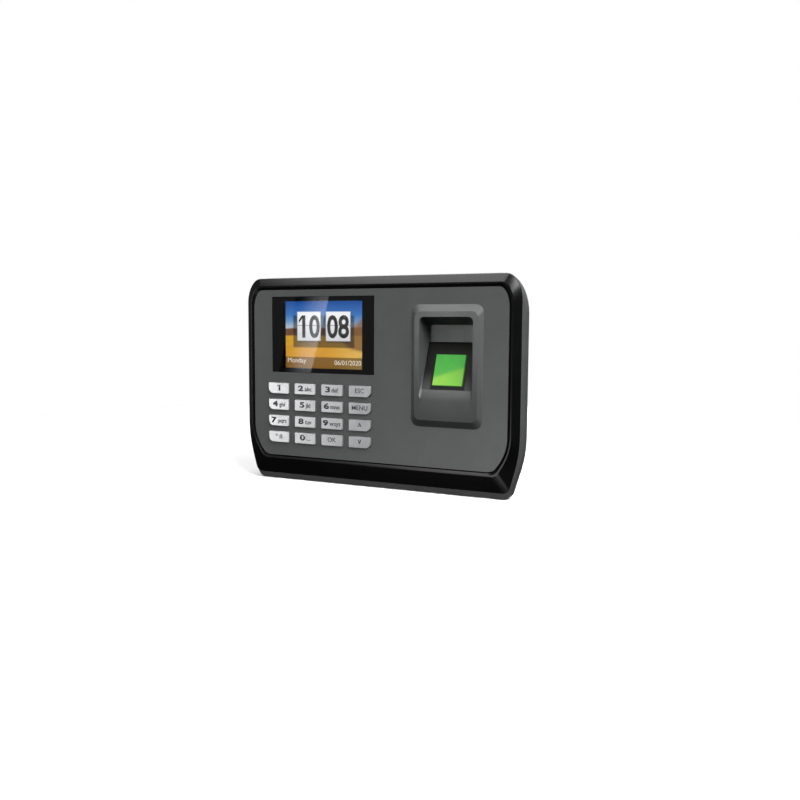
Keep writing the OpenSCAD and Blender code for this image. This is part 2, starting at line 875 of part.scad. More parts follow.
module keymat() {
    r_top = dome_r - dome_in;
    roof = flange_back + dome_roof;
    color([0.75, 0.76, 0.78]) {
        difference() {
            union() {
                block(keypad_x, keypad_z, keypad_w + 2 * mat_margin, keypad_h + 2 * mat_end,
                    mat_front, pad_back);
                for (row = [0:3], col = [0:3])
                    translate([key_at(row, col)[0], depth_y(flange_back), key_at(row, col)[1]])
                        rotate([-90, 0, 0])
                            cylinder(r1 = r_top, r2 = dome_r, h = mat_front - flange_back + fit_gap);
            }
            for (row = [0:3], col = [0:3])
                translate([key_at(row, col)[0], depth_y(roof), key_at(row, col)[1]])
                    rotate([-90, 0, 0])
                        cylinder(r1 = r_top - dome_web, r2 = dome_r - dome_web,
                            h = pad_back - roof + fit_gap);
        }
        // Pills that meet the contacts at the end of the key's travel.
        for (row = [0:3], col = [0:3])
            bar(key_at(row, col)[0], key_at(row, col)[1], pill_r, roof - fit_gap,
                pad_back - contact_t - key_travel);
    }
}

module keypad_pcb() {
    color([0.1, 0.35, 0.2]) block(keypad_x, keypad_z, keypad_w + 2 * mat_margin,
        keypad_h + 2 * mat_end, pad_back, pad_back + pad_t);
}

module keypad_contacts() {
    color("gold") for (row = [0:3], col = [0:3])
        bar(key_at(row, col)[0], key_at(row, col)[1], dome_r - dome_web - contact_in,
            pad_back - contact_t, pad_back);
}

module keypad_cable() {
    color([0.8, 0.8, 0.82])
        block(keypad_x, keypad_z - keypad_h / 2 + strip_h / 2, strip_w, strip_h,
            pad_back + pad_t, board_depth);
}

// ---- Main board ----

module main_pcb() {
    color([0.1, 0.35, 0.2]) difference() {
        slab(board_depth, board_back) polygon([
            [board_left, board_low], [board_foot_right, board_low],
            [board_foot_right, board_foot_top], [board_right, board_foot_top],
            [board_right, board_top], [board_left, board_top]
        ]);
        for (at = board_screw_at)
            bar(at[0], at[1], board_screw_r + bore_gap, board_depth - cut, board_back + cut);
    }
}

module board_screws() {
    color("silver") for (at = board_screw_at)
        translate([at[0], depth_y(board_depth), at[1]])
            pan_screw(board_screw_r, board_screw_head_r, board_screw_head_t, board_screw_len);
}

module board_block(at, t) {
    block(at[0], at[1], at[2], at[3], board_back, board_back + t);
}

module processor() {
    color([0.12, 0.12, 0.13]) board_block(processor_at, processor_t);
}

module board_chips() {
    color([0.12, 0.12, 0.13]) for (at = chip_at) board_block(at, chip_t);
}

module capacitors() {
    color([0.2, 0.25, 0.5]) for (at = capacitor_at)
        bar(at[0], at[1], at[2], board_back, board_back + capacitor_h);
}

// Sockets for the sensor cable, the display ribbon, the speaker and a back-up supply.
module board_sockets() {
    color("ivory") {
        board_block([hood_x, board_foot_top - socket_drop, socket_w, socket_long], socket_h_small);
        block(display_x, display_z - picture_h / 2 - tray_end + ribbon_reach + ribbon_foot,
            ribbon_w + 3, socket_long, board_depth - socket_low_h, board_depth);
        board_block([speaker_x, socket_z, 6, 8], socket_h);
        board_block(power_socket_at, socket_h + 1);
    }
}

module cell_holder() {
    color([0.1, 0.1, 0.1]) difference() {
        board_block([cell_at[0], cell_at[1], holder_side, holder_side], holder_t);
        bar(cell_at[0], cell_at[1], cell_r + cell_gap, board_back + holder_floor,
            board_back + holder_t + cut);
    }
}

module coin_cell() {
    color("silver") bar(cell_at[0], cell_at[1], cell_r, board_back + holder_floor,
        board_back + holder_floor + cell_t);
}

module usb_port() {
    shell = usb_shell_t;
    color("silver") difference() {
        block(usb_x, port_face + usb_l / 2, usb_w, usb_l, board_back, board_back + usb_t);
        block(usb_x, port_face + usb_l / 2 - usb_end_t, usb_w - 2 * shell, usb_l,
            board_back + shell, board_back + usb_t - shell);
    }
}

module usb_tongue() {
    color("white") block(usb_x, port_face + usb_l / 2, tongue_w, usb_l - 2 * usb_end_t,
        board_back + tongue_from, board_back + tongue_from + tongue_t);
}

module dc_jack() {
    mid = board_back + jack_t / 2;
    color([0.1, 0.1, 0.1]) difference() {
        block(jack_x, port_face + jack_l / 2, jack_w, jack_l, board_back, board_back + jack_t);
        translate([jack_x, depth_y(mid), port_face - cut])
            cylinder(r = jack_bore_r, h = jack_bore_d + cut);
    }
}

module dc_pin() {
    mid = board_back + jack_t / 2;
    color("silver") translate([jack_x, depth_y(mid), port_face + jack_pin_in])
        cylinder(r = jack_pin_r, h = jack_bore_d - jack_pin_in);
}

// ---- Speaker ----

module speaker() {
    front = floor_depth - speaker_t;
    color([0.15, 0.15, 0.15]) difference() {
        union() {
            bar(speaker_x, speaker_z, speaker_r - cone_in, front, floor_depth - ring_t);
            bar(speaker_x, speaker_z, magnet_r, front - magnet_t, front + fit_gap);
        }
        translate([speaker_x, depth_y(floor_depth - ring_t - cone_deep + fit_gap), speaker_z])
            rotate([-90, 0, 0])
                cylinder(r1 = cone_r, r2 = speaker_r - 2 * cone_in, h = cone_deep);
    }
}

module speaker_ring() {
    color([0.25, 0.25, 0.26]) difference() {
        bar(speaker_x, speaker_z, speaker_r, floor_depth - ring_t, floor_depth);
        bar(speaker_x, speaker_z, speaker_r - ring_side, floor_depth - ring_t - cut, floor_depth + cut);
    }
}

// Twin lead from the speaker's back down to its socket on the board.
module speaker_leads() {
    t = lead_t;
    z_top = speaker_z - lead_from;
    z_foot = socket_z;
    d_top = floor_depth - speaker_t - magnet_t;
    d_run = d_top - 2 * t;
    d_foot = board_back + socket_h;
    color("firebrick") for (side = [-1, 1])
        translate([speaker_x + side * lead_t, 0, 0]) side_profile(t, [
            [depth_y(d_top), z_top], [depth_y(d_run), z_top], [depth_y(d_run - t), z_top - t],
            [depth_y(d_run - t), z_foot + t], [depth_y(d_foot), z_foot],
            [depth_y(d_foot), z_foot - t], [depth_y(d_run), z_foot + t / 2],
            [depth_y(d_run), z_top - t * 1.4], [depth_y(d_top), z_top - t * 1.4]
        ]);
}

for (row = [0:3], col = [0:3])
    key(row, col);
wall_bracket();
lock_screw();
front_bezel();
front_plate();
rear_shell();
case_screws();
display_window();
window_gasket();
lcd_panel();
backlight_tray();
lcd_ribbon();
sensor_hood();
sensor_housing();
prism();
sensor_pcb();
sensor_camera();
sensor_leds();
sensor_screws();
sensor_cable();
keymat();
keypad_pcb();
keypad_contacts();
keypad_cable();
main_pcb();
board_screws();
processor();
board_chips();
capacitors();
board_sockets();
cell_holder();
coin_cell();
usb_port();
usb_tongue();
dc_jack();
dc_pin();
speaker();
speaker_ring();
speaker_leads();
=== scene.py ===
import json
import math

import bmesh
import bpy
from mathutils import Matrix, Vector


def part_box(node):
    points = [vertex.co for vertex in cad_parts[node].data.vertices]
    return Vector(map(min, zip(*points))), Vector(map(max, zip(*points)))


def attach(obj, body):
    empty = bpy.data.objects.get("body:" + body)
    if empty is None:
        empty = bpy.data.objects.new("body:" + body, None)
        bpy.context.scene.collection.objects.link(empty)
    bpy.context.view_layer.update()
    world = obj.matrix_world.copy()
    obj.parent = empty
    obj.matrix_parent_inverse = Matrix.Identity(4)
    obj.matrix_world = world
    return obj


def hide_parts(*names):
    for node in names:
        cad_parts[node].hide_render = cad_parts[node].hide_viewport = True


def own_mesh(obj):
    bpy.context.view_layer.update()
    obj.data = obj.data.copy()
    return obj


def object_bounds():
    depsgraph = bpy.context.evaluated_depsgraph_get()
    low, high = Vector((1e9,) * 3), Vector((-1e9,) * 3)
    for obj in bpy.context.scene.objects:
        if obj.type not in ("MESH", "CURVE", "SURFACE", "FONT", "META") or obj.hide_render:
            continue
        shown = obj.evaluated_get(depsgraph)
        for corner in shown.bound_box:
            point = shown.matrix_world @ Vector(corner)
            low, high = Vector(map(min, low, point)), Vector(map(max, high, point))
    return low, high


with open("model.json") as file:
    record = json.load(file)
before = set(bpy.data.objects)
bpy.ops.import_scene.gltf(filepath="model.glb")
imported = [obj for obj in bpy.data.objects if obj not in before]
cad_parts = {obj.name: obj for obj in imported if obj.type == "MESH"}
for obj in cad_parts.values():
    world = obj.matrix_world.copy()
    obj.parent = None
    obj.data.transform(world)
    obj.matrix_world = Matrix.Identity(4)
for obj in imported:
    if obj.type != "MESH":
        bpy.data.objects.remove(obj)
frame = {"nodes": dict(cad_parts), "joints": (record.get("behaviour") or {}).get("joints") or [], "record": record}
NODES = frame["nodes"]
RECORD = frame["record"]
CAD_BOX = [list(corner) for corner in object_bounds()]
MM = 0.001
SCENE = bpy.context.scene

# ---- Camera ----

CAMERA_AT = Vector((0.23190, -0.48946, 0.03429))
CAMERA_LOOK = Vector((-0.42425, 0.90117, -0.08894)).normalized()
CAMERA_ROLL = math.radians(0.328)
LENS_MM = 36.49
SENSOR_MM = 36.0


def make_camera():
    data = bpy.data.cameras.new("camera")
    data.lens = LENS_MM
    data.sensor_width = SENSOR_MM
    data.clip_start = 0.01
    data.clip_end = 60.0
    camera = bpy.data.objects.new("camera", data)
    SCENE.collection.objects.link(camera)
    level = CAMERA_LOOK.to_track_quat("-Z", "Y").to_matrix().to_4x4()
    camera.matrix_world = (
        Matrix.Translation(CAMERA_AT) @ level @ Matrix.Rotation(CAMERA_ROLL, 4, "Z")
    )
    SCENE.camera = camera


make_camera()
SCENE.view_settings.view_transform = "Standard"

# ---- Node material helpers ----


# Cosines of a rounded normal's turn from the face's own: the lighter edges (wear, and painted highlight) are full
# at the first, none at the second.
EDGE_FULL_COSINE = 0.80
EDGE_NONE_COSINE = 0.97


class Shader:
    """A material under construction: a Principled shader fed by procedural nodes in object coordinates."""

    def __init__(self, name, **constants):
        self.material = bpy.data.materials.new(name)
        self.material.use_nodes = True
        self.tree = self.material.node_tree
        self.bsdf = self.tree.nodes["Principled BSDF"]
        coordinates = self.node("ShaderNodeTexCoord")
        self.position = coordinates.outputs["Object"]
        for socket, value in constants.items():
            self.bsdf.inputs[socket.replace("_", " ")].default_value = value

    def node(self, kind, **settings):
        made = self.tree.nodes.new(kind)
        for key, value in settings.items():
            setattr(made, key, value)
        return made

    def link(self, value, socket):
        """Feeds a socket from another socket, a number or a colour."""
        if isinstance(value, bpy.types.NodeSocket):
            self.tree.links.new(value, socket)
        else:
            socket.default_value = value

    def math(self, operation, a, b=0.0):
        made = self.node("ShaderNodeMath", operation=operation)
        self.link(a, made.inputs[0])
        self.link(b, made.inputs[1])
        return made.outputs[0]

    def ramp(self, value, low, high, out_low=0.0, out_high=1.0, smooth=True):
        """value from low to high becomes out_low to out_high, and stays there outside."""
        made = self.node("ShaderNodeMapRange")
        made.interpolation_type = "SMOOTHSTEP" if smooth else "LINEAR"
        self.link(value, made.inputs["Value"])
        made.inputs["From Min"].default_value = low
        made.inputs["From Max"].default_value = high
        made.inputs["To Min"].default_value = out_low
        made.inputs["To Max"].default_value = out_high
        return made.outputs["Result"]

    def mix(self, factor, a, b):
        made = self.node("ShaderNodeMix", data_type="RGBA")
        self.link(factor, made.inputs[0])
        self.link(a, made.inputs[6])
        self.link(b, made.inputs[7])
        return made.outputs[2]

    def axes(self):
        made = self.node("ShaderNodeSeparateXYZ")
        self.tree.links.new(self.position, made.inputs[0])
        return made.outputs[0], made.outputs[1], made.outputs[2]

    def noise(self, size_mm, detail=2.0, stretch=(1, 1, 1)):
        """Noise whose features are about size_mm across, stretched along the axes."""
        mapping = self.node("ShaderNodeMapping")
        self.tree.links.new(self.position, mapping.inputs["Vector"])
        mapping.inputs["Scale"].default_value = [1 / s for s in stretch]
        made = self.node("ShaderNodeTexNoise")
        self.tree.links.new(mapping.outputs[0], made.inputs["Vector"])
        made.inputs["Scale"].default_value = 1000.0 / size_mm
        made.inputs["Detail"].default_value = detail
        return made.outputs[0]

    def bump(self, height, depth_mm):
        made = self.node("ShaderNodeBump")
        made.inputs["Strength"].default_value = 1.0
        made.inputs["Distance"].default_value = depth_mm * MM
        self.link(height, made.inputs["Height"])
        self.tree.links.new(made.outputs[0], self.bsdf.inputs["Normal"])

    def edges(self, radius_mm=0.35):
        """1 along edges, where a rounded normal would leave the face's own, and 0 elsewhere."""
        rounded = self.node("ShaderNodeBevel", samples=4)
        rounded.inputs["Radius"].default_value = radius_mm * MM
        own = self.node("ShaderNodeNewGeometry").outputs["True Normal"]
        dot = self.node("ShaderNodeVectorMath", operation="DOT_PRODUCT")
        self.tree.links.new(rounded.outputs[0], dot.inputs[0])
        self.tree.links.new(own, dot.inputs[1])
        return self.ramp(dot.outputs["Value"], EDGE_FULL_COSINE, EDGE_NONE_COSINE, 1.0, 0.0)

    def set(self, socket, value):
        self.link(value, self.bsdf.inputs[socket])


def colour(r, g, b):
    return (r, g, b, 1.0)


def scaled(tone, by):
    return colour(*(min(1.0, c * by) for c in tone[:3]))


def moulded(name, tone, rough, specular=0.5, grain_mm=0.35, grain_depth=0.02, spread=0.12,
             edge_wear_and_highlight=0.0, edge_tone=None, **constants):
    """Moulded or painted plastic: slow tone drift, fine grain and, where given, lighter edges, which stand for
    wear and, on the bezel and the plate, a painted highlight.
    """
    s = Shader(name, Specular_IOR_Level=specular, **constants)
    drift = s.ramp(s.noise(14.0, 3.0), 0.3, 0.7)
    speck = s.ramp(s.noise(grain_mm, 2.0), 0.25, 0.75)
    base = s.mix(drift, scaled(tone, 1 - spread), scaled(tone, 1 + spread))
    base = s.mix(s.math("MULTIPLY", speck, 0.35), base, scaled(tone, 1 + 2 * spread))
    if edge_wear_and_highlight:
        # Lighter edges: wear, and on the bezel and the plate a painted highlight.
        base = s.mix(s.math("MULTIPLY", s.edges(), edge_wear_and_highlight), base, edge_tone or scaled(tone, 2.4))
    s.set("Base Color", base)
    s.set("Roughness", s.math("ADD", s.math("MULTIPLY", speck, 0.08), rough - 0.04))
    s.bump(speck, grain_depth)
    return s.material


def brushed(name, tone, rough, along=(12, 1, 12), grain_mm=0.25, depth=0.006):
    """Drawn or plated metal with fine streaks."""
    s = Shader(name, Metallic=1.0)
    streak = s.ramp(s.noise(grain_mm, 3.0, along), 0.3, 0.7)
    cloud = s.ramp(s.noise(9.0, 3.0), 0.3, 0.7)
    base = s.mix(cloud, scaled(tone, 0.84), scaled(tone, 1.08))
    s.set("Base Color", s.mix(s.math("MULTIPLY", streak, 0.25), base, scaled(tone, 0.7)))
    s.set("Roughness", s.math("ADD", s.math("MULTIPLY", streak, 0.14), rough - 0.05))
    s.bump(streak, depth)
    return s.material


ZINC_CRYSTALS_PER_METRE = 320.0


def zinc(name, tone, rough):
    """Zinc plated sheet: a faint crystal pattern in tone and gloss."""
    s = Shader(name, Metallic=1.0)
    cells = s.node("ShaderNodeTexVoronoi")
    s.tree.links.new(s.position, cells.inputs["Vector"])
    cells.inputs["Scale"].default_value = ZINC_CRYSTALS_PER_METRE
    tint = s.ramp(cells.outputs["Color"], 0.0, 1.0, smooth=False)
    fine = s.ramp(s.noise(0.4, 2.0), 0.3, 0.7)
    s.set("Base Color", s.mix(tint, scaled(tone, 0.86), scaled(tone, 1.08)))
    s.set("Roughness", s.math("ADD", s.math("MULTIPLY", tint, 0.12), rough - 0.06))
    s.bump(fine, 0.008)
    return s.material


# Half the spacing of the copper tracks and half the gap between them, across and up the board.
TRACK_STEP_X = 1.1 * MM
TRACK_STEP_Z = 1.3 * MM
TRACK_GAP_X = 0.4 * MM
TRACK_GAP_Z = 0.5 * MM
TRACK_EDGE = 0.1 * MM


def board(name, tone):
    """Solder mask with copper tracks under it."""
    s = Shader(name, Roughness=0.32, Coat_Weight=0.3)
    x, _, z = s.axes()
    tracks = s.ramp(s.math("PINGPONG", x, TRACK_STEP_X), TRACK_GAP_X, TRACK_GAP_X + TRACK_EDGE)
    tracks = s.math("MULTIPLY", tracks, s.ramp(s.noise(6.0), 0.45, 0.5))
    rows = s.ramp(s.math("PINGPONG", z, TRACK_STEP_Z), TRACK_GAP_Z, TRACK_GAP_Z + TRACK_EDGE)
    rows = s.math("MULTIPLY", rows, s.ramp(s.noise(5.0, 1.0), 0.5, 0.55))
    copper = s.math("MAXIMUM", tracks, rows)
    s.set("Base Color", s.mix(copper, tone, scaled(tone, 2.1)))
    s.bump(copper, 0.03)
    return s.material


def print_ink(name, tone):
    """Printed legend ink, a little uneven."""
    s = Shader(name, Roughness=0.55)
    s.set("Base Color", s.mix(s.ramp(s.noise(0.3, 2.0), 0.3, 0.7), scaled(tone, 0.8), scaled(tone, 1.3)))
    return s.material


# ---- Materials by the record's slots ----

PLATE_TONE = colour(0.036, 0.0375, 0.0375)
BLACK_TONE = colour(0.0016, 0.0016, 0.0018)
STEEL_TONE = colour(0.60, 0.61, 0.62)

# Each moulded row: name, tone, roughness, specular level, grain size and depth in mm, tone spread, edge wear and
# painted edge highlight.
MATERIALS = {
    # The light lines along the bezel's crest and edges, and the plate's lighter edges, are a painted highlight.
    "bezel_black": moulded("gloss_black", BLACK_TONE, 0.2, 0.16, 0.5, 0.0015, 0.2, 0.7,
                           edge_tone=colour(0.04, 0.04, 0.041)),
    "plate_grey": moulded("plate_paint", PLATE_TONE, 0.46, 0.4, 0.22, 0.006, 0.06, 0.35),
    "shell_grey": moulded("shell_plastic", colour(0.036, 0.037, 0.037), 0.58, 0.25, 0.55, 0.03, 0.10, 0.5),
    "foam_black": moulded("foam", colour(0.02, 0.02, 0.02), 0.95, 0.1, 0.6, 0.12, 0.2),
    "silicone": moulded("silicone_rubber", colour(0.5, 0.5, 0.52), 0.6, 0.4, 0.7, 0.01, 0.05),
    "tray_white": moulded("tray_plastic", colour(0.75, 0.75, 0.74), 0.5, 0.5, 0.6, 0.01, 0.04),
    "chip_black": moulded("chip_epoxy", colour(0.02, 0.02, 0.02), 0.6, 0.5, 0.25, 0.01, 0.15),
    "socket_ivory": moulded("socket_nylon", colour(0.7, 0.66, 0.55), 0.5, 0.5, 0.5, 0.01, 0.05),
    "socket_black": moulded("jack_nylon", colour(0.02, 0.02, 0.02), 0.45, 0.5, 0.4, 0.01, 0.15),
    "socket_white": moulded("tongue_nylon", colour(0.8, 0.8, 0.8), 0.5, 0.5, 0.5, 0.01, 0.04),
    "cable_grey": moulded("flat_cable", colour(0.5, 0.5, 0.52), 0.5, 0.5, 0.9, 0.02, 0.05),
    "flex_amber": moulded("polyimide", colour(0.55, 0.25, 0.05), 0.25, 0.5, 0.9, 0.004, 0.08),
    "capacitor_blue": moulded("capacitor_sleeve", colour(0.03, 0.05, 0.2), 0.3, 0.5, 0.5, 0.004, 0.08),
    "lead_red": moulded("lead_insulation", colour(0.4, 0.03, 0.02), 0.4, 0.5, 0.5, 0.01, 0.08),
    "speaker_black": moulded("speaker_cone", colour(0.025, 0.025, 0.026), 0.8, 0.3, 0.5, 0.05, 0.2),
    "led_clear": moulded("led_dome", colour(0.6, 0.85, 0.6), 0.12, 0.5, 0.6, 0.002, 0.05, Coat_Weight=0.5),
    "screw_steel": brushed("screw_plating", STEEL_TONE, 0.3, (1, 8, 1)),
    "cell_steel": brushed("cell_can", colour(0.68, 0.68, 0.68), 0.22),
    "port_steel": brushed("port_shell", colour(0.66, 0.66, 0.68), 0.26, (1, 1, 14)),
    "gold_pad": brushed("gold_pads", colour(0.8, 0.58, 0.22), 0.25),
    "bracket_steel": zinc("bracket_zinc", STEEL_TONE, 0.42),
    "board_green": board("solder_mask", colour(0.01, 0.075, 0.03)),
}


def key_material():
    """Silver painted keycap: slow tone drift, fine metallic speckle and lighter edges."""
    s = Shader("key_paint", Metallic=0.6, Specular_IOR_Level=0.5)
    speck = s.ramp(s.noise(0.16, 2.0), 0.3, 0.7)
    drift = s.ramp(s.noise(6.0, 2.0), 0.3, 0.7)
    base = s.mix(drift, colour(0.27, 0.274, 0.28), colour(0.31, 0.314, 0.32))
    base = s.mix(s.math("MULTIPLY", speck, 0.4), base, colour(0.39, 0.394, 0.40))
    s.set("Base Color", s.mix(s.math("MULTIPLY", s.edges(0.2), 0.4), base, colour(0.6, 0.6, 0.6)))
    s.set("Roughness", s.math("ADD", s.math("MULTIPLY", speck, 0.1), 0.34))
    s.bump(speck, 0.004)
    return s.material


MATERIALS["key_silver"] = key_material()


# ---- Window and the lit picture ----

PICTURE_W = 57.6 * MM
PICTURE_H = 43.2 * MM
LENS_LOW, LENS_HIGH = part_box("display_window")
PANEL_LOW, PANEL_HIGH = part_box("lcd_panel")
SCREEN_CENTRE = (PANEL_LOW + PANEL_HIGH) / 2
PANEL_FACE = PANEL_LOW.y


def picture_mask(s, u, v, blur):
    """1 inside the lit picture, 0 outside, from its 0 to 1 coordinates."""
    across = s.math("MULTIPLY", s.ramp(u, -blur, 0.0), s.ramp(u, 1.0, 1.0 + blur, 1.0, 0.0))
    up = s.math("MULTIPLY", s.ramp(v, -blur, 0.0), s.ramp(v, 1.0, 1.0 + blur, 1.0, 0.0))
    return s.math("MULTIPLY", across, up)


def picture_axes(s):
    """(u, v) across and up the lit picture, each 0 to 1."""
    x, _, z = s.axes()
    u = s.math("DIVIDE", s.math("SUBTRACT", x, SCREEN_CENTRE.x - PICTURE_W / 2), PICTURE_W)
    v = s.math("DIVIDE", s.math("SUBTRACT", z, SCREEN_CENTRE.z - PICTURE_H / 2), PICTURE_H)
    return u, v


def box_mask(s, u, v, u0, u1, v0, v1, soft=0.008):
    """1 inside a rectangle of the picture, with a soft edge."""
    across = s.math("MULTIPLY", s.ramp(u, u0 - soft, u0 + soft), s.ramp(u, u1 - soft, u1 + soft, 1.0, 0.0))
    up = s.math("MULTIPLY", s.ramp(v, v0 - soft, v0 + soft), s.ramp(v, v1 - soft, v1 + soft, 1.0, 0.0))
    return s.math("MULTIPLY", across, up)


# Places in the picture are shares of its width, from the left, and of its height, from below.
CARD_LOW = 0.41
CARD_HIGH = 0.845
CARDS = ((0.155, 0.46), (0.53, 0.84))
SPLIT = 0.64
SPLIT_HALF = 0.005
BAR_TOP = 0.165
# How far a full-width box runs past the picture's edges.
BEYOND = 0.1
RIDGE_TOP = 0.60
RIDGE_RISE = 0.02
DUNE_TOP = 0.50
HILL_LEFT = 0.62
HILL_HEIGHT = 0.44
HILL_SLOPE = 1.05
CLOCK_TRAY = (0.10, 0.89, 0.31, 0.79)
SKY_HAZE = colour(0.44, 0.50, 0.58)
# Each band of sky: where it starts, where it is full, and its colour.
SKY_BANDS = (
    (0.61, 0.70, colour(0.14, 0.31, 0.56)),
    (0.69, 0.80, colour(0.035, 0.16, 0.48)),
    (0.80, 0.98, colour(0.008, 0.075, 0.32)),
)
PICTURE_STRENGTH = 1.02


def land_and_sky(s, u, v):
    """Dunes under a far ridge and a blue sky, with a shaded hill on the right."""
    wobble = s.math("MULTIPLY", s.math("SUBTRACT", s.noise(9.0, 3.0), 0.5), 0.05)
    sky = SKY_HAZE
    for low, high, tone in SKY_BANDS:
        sky = s.mix(s.ramp(v, low, high, smooth=False), sky, tone)
    ridge_top = s.math("ADD", s.math("ADD", wobble, RIDGE_TOP), s.math("MULTIPLY", u, RIDGE_RISE))
    ridge = s.ramp(s.math("SUBTRACT", ridge_top, v), -0.01, 0.02)
    land = s.mix(ridge, sky, colour(0.15, 0.065, 0.03))
    ripple = s.ramp(s.noise(2.2, 3.0, (5, 1, 1)), 0.3, 0.7)
    sand = s.mix(s.ramp(v, 0.1, 0.5), colour(0.68, 0.31, 0.02), colour(0.64, 0.36, 0.022))
    sand = s.mix(s.ramp(u, 0.5, 1.0), sand, colour(0.74, 0.46, 0.09))
    sand = s.mix(s.math("MULTIPLY", ripple, 0.25), sand, colour(0.44, 0.20, 0.015))
    dune_top = s.math("ADD", s.math("MULTIPLY", wobble, 0.6), DUNE_TOP)
    dune = s.ramp(s.math("SUBTRACT", dune_top, v), -0.005, 0.03)
    picture = s.mix(dune, land, sand)
    reach = s.math("MULTIPLY", s.math("SUBTRACT", u, HILL_LEFT), HILL_SLOPE)
    rise = s.math("SUBTRACT", reach, s.math("ABSOLUTE", s.math("SUBTRACT", v, HILL_HEIGHT)))
    shade = s.ramp(s.math("MULTIPLY", rise, s.ramp(v, 0.20, 0.34)), 0.02, 0.14, 0.0, 0.85)
    return s.mix(shade, picture, colour(0.21, 0.095, 0.026))


def screen_material():
    """A desert scene with a flip clock, lit from behind, in a black border."""
    s = Shader("lcd_picture", Roughness=0.5, Specular_IOR_Level=0.1)
    u, v = picture_axes(s)
    picture = land_and_sky(s, u, v)
    tray = box_mask(s, u, v, *CLOCK_TRAY, soft=0.012)
    picture = s.mix(s.math("MULTIPLY", tray, 0.70), picture, colour(0.008, 0.007, 0.005))
    bar = box_mask(s, u, v, -BEYOND, 1 + BEYOND, -BEYOND, BAR_TOP, 0.006)
    picture = s.mix(s.math("MULTIPLY", bar, 0.72), picture, colour(0.045, 0.022, 0.004))
    for left, right in CARDS:
        shadow = box_mask(s, u, v, left, right, CARD_LOW - 0.03, CARD_HIGH - 0.02, 0.025)
        picture = s.mix(s.math("MULTIPLY", shadow, 0.5), picture, colour(0.02, 0.02, 0.02))
        face = s.mix(s.ramp(v, CARD_LOW, CARD_HIGH), colour(0.66, 0.68, 0.70), colour(0.90, 0.91, 0.92))
        picture = s.mix(box_mask(s, u, v, left, right, CARD_LOW, CARD_HIGH), picture, face)
        line = box_mask(s, u, v, left, right, SPLIT - SPLIT_HALF, SPLIT + SPLIT_HALF, 0.004)
        picture = s.mix(s.math("MULTIPLY", line, 0.75), picture, colour(0.12, 0.12, 0.12))
    lit = picture_mask(s, u, v, 0.004)
    s.set("Base Color", s.mix(lit, colour(0.004, 0.004, 0.004), colour(0.01, 0.01, 0.012)))
    s.set("Emission Color", s.mix(lit, colour(0, 0, 0), picture))
    s.bsdf.inputs["Emission Strength"].default_value = PICTURE_STRENGTH
    return s.material


def window_material():
    """Clear lens over the picture, black ink round it, polished, with a faint haze of wear."""
    s = Shader("window_lens", IOR=1.49)
    u, v = picture_axes(s)
    clear = box_mask(s, u, v, -0.012, 1.012, -0.016, 1.016, 0.003)
    scuff = s.ramp(s.noise(0.5, 3.0, (6, 1, 1)), 0.55, 0.8)
    s.set("Base Color", s.mix(s.ramp(clear, 0.9, 1.0), colour(0.003, 0.003, 0.0035), colour(1, 1, 1)))
    s.set("Transmission Weight", clear)
    s.set("Roughness", s.math("ADD", s.math("MULTIPLY", scuff, 0.02), 0.012))
    return s.material


MATERIALS["lcd_glass"] = screen_material()
MATERIALS["window_glass"] = window_material()

# ---- Sensor glass ----

GLASS_TILT = math.radians(21.3)
PRISM_LOW, PRISM_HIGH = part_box("prism")
GLASS_OUT = Vector((0, -math.cos(GLASS_TILT), math.sin(GLASS_TILT)))
GLASS_UP = Vector((0, math.sin(GLASS_TILT), math.cos(GLASS_TILT)))
GLASS_SIDE = PRISM_HIGH.x - PRISM_LOW.x
# The glass's lower front corner line is the prism's lowest front edge.
GLASS_FOOT = Vector(((PRISM_LOW.x + PRISM_HIGH.x) / 2, PRISM_LOW.y, PRISM_LOW.z))
GLASS_CENTRE = GLASS_FOOT + GLASS_UP * GLASS_SIDE / 2
GLASS_STRENGTH = 0.62


def glass_axes(s):
    """Shader coordinates (across, up) on the sensor glass, each -1 to 1."""
    x, _, z = s.axes()
    across = s.math("DIVIDE", s.math("SUBTRACT", x, GLASS_CENTRE.x), GLASS_SIDE / 2)
    up = s.math("DIVIDE", s.math("SUBTRACT", z, GLASS_CENTRE.z), GLASS_UP.z * GLASS_SIDE / 2)
    return across, up


def glass_material():
    """Green lit optical glass, deeper towards its top and dark along its right and lower edges."""
    s = Shader("sensor_glass", Roughness=0.04, Specular_IOR_Level=0.5, Coat_Weight=0.3)
    across, up = glass_axes(s)
    rim = s.math("MAXIMUM", across, s.math("MULTIPLY", up, -1.0))
    inner = s.ramp(rim, 0.90, 0.97, 1.0, 0.0)
    cloud = s.ramp(s.noise(5.0, 3.0), 0.3, 0.7)
    tone = s.mix(s.ramp(up, -1.0, 1.0), colour(0.13, 0.50, 0.06), colour(0.06, 0.42, 0.055))
    tone = s.mix(s.math("MULTIPLY", cloud, 0.25), tone, colour(0.16, 0.56, 0.08))
    s.set("Emission Color", s.mix(inner, colour(0.012, 0.09, 0.012), tone))
    s.set("Base Color", s.mix(inner, colour(0.004, 0.02, 0.004), colour(0.02, 0.10, 0.02)))
    s.bsdf.inputs["Emission Strength"].default_value = GLASS_STRENGTH
    s.bump(s.ramp(s.noise(0.8, 2.0), 0.3, 0.7), 0.0006)
    return s.material


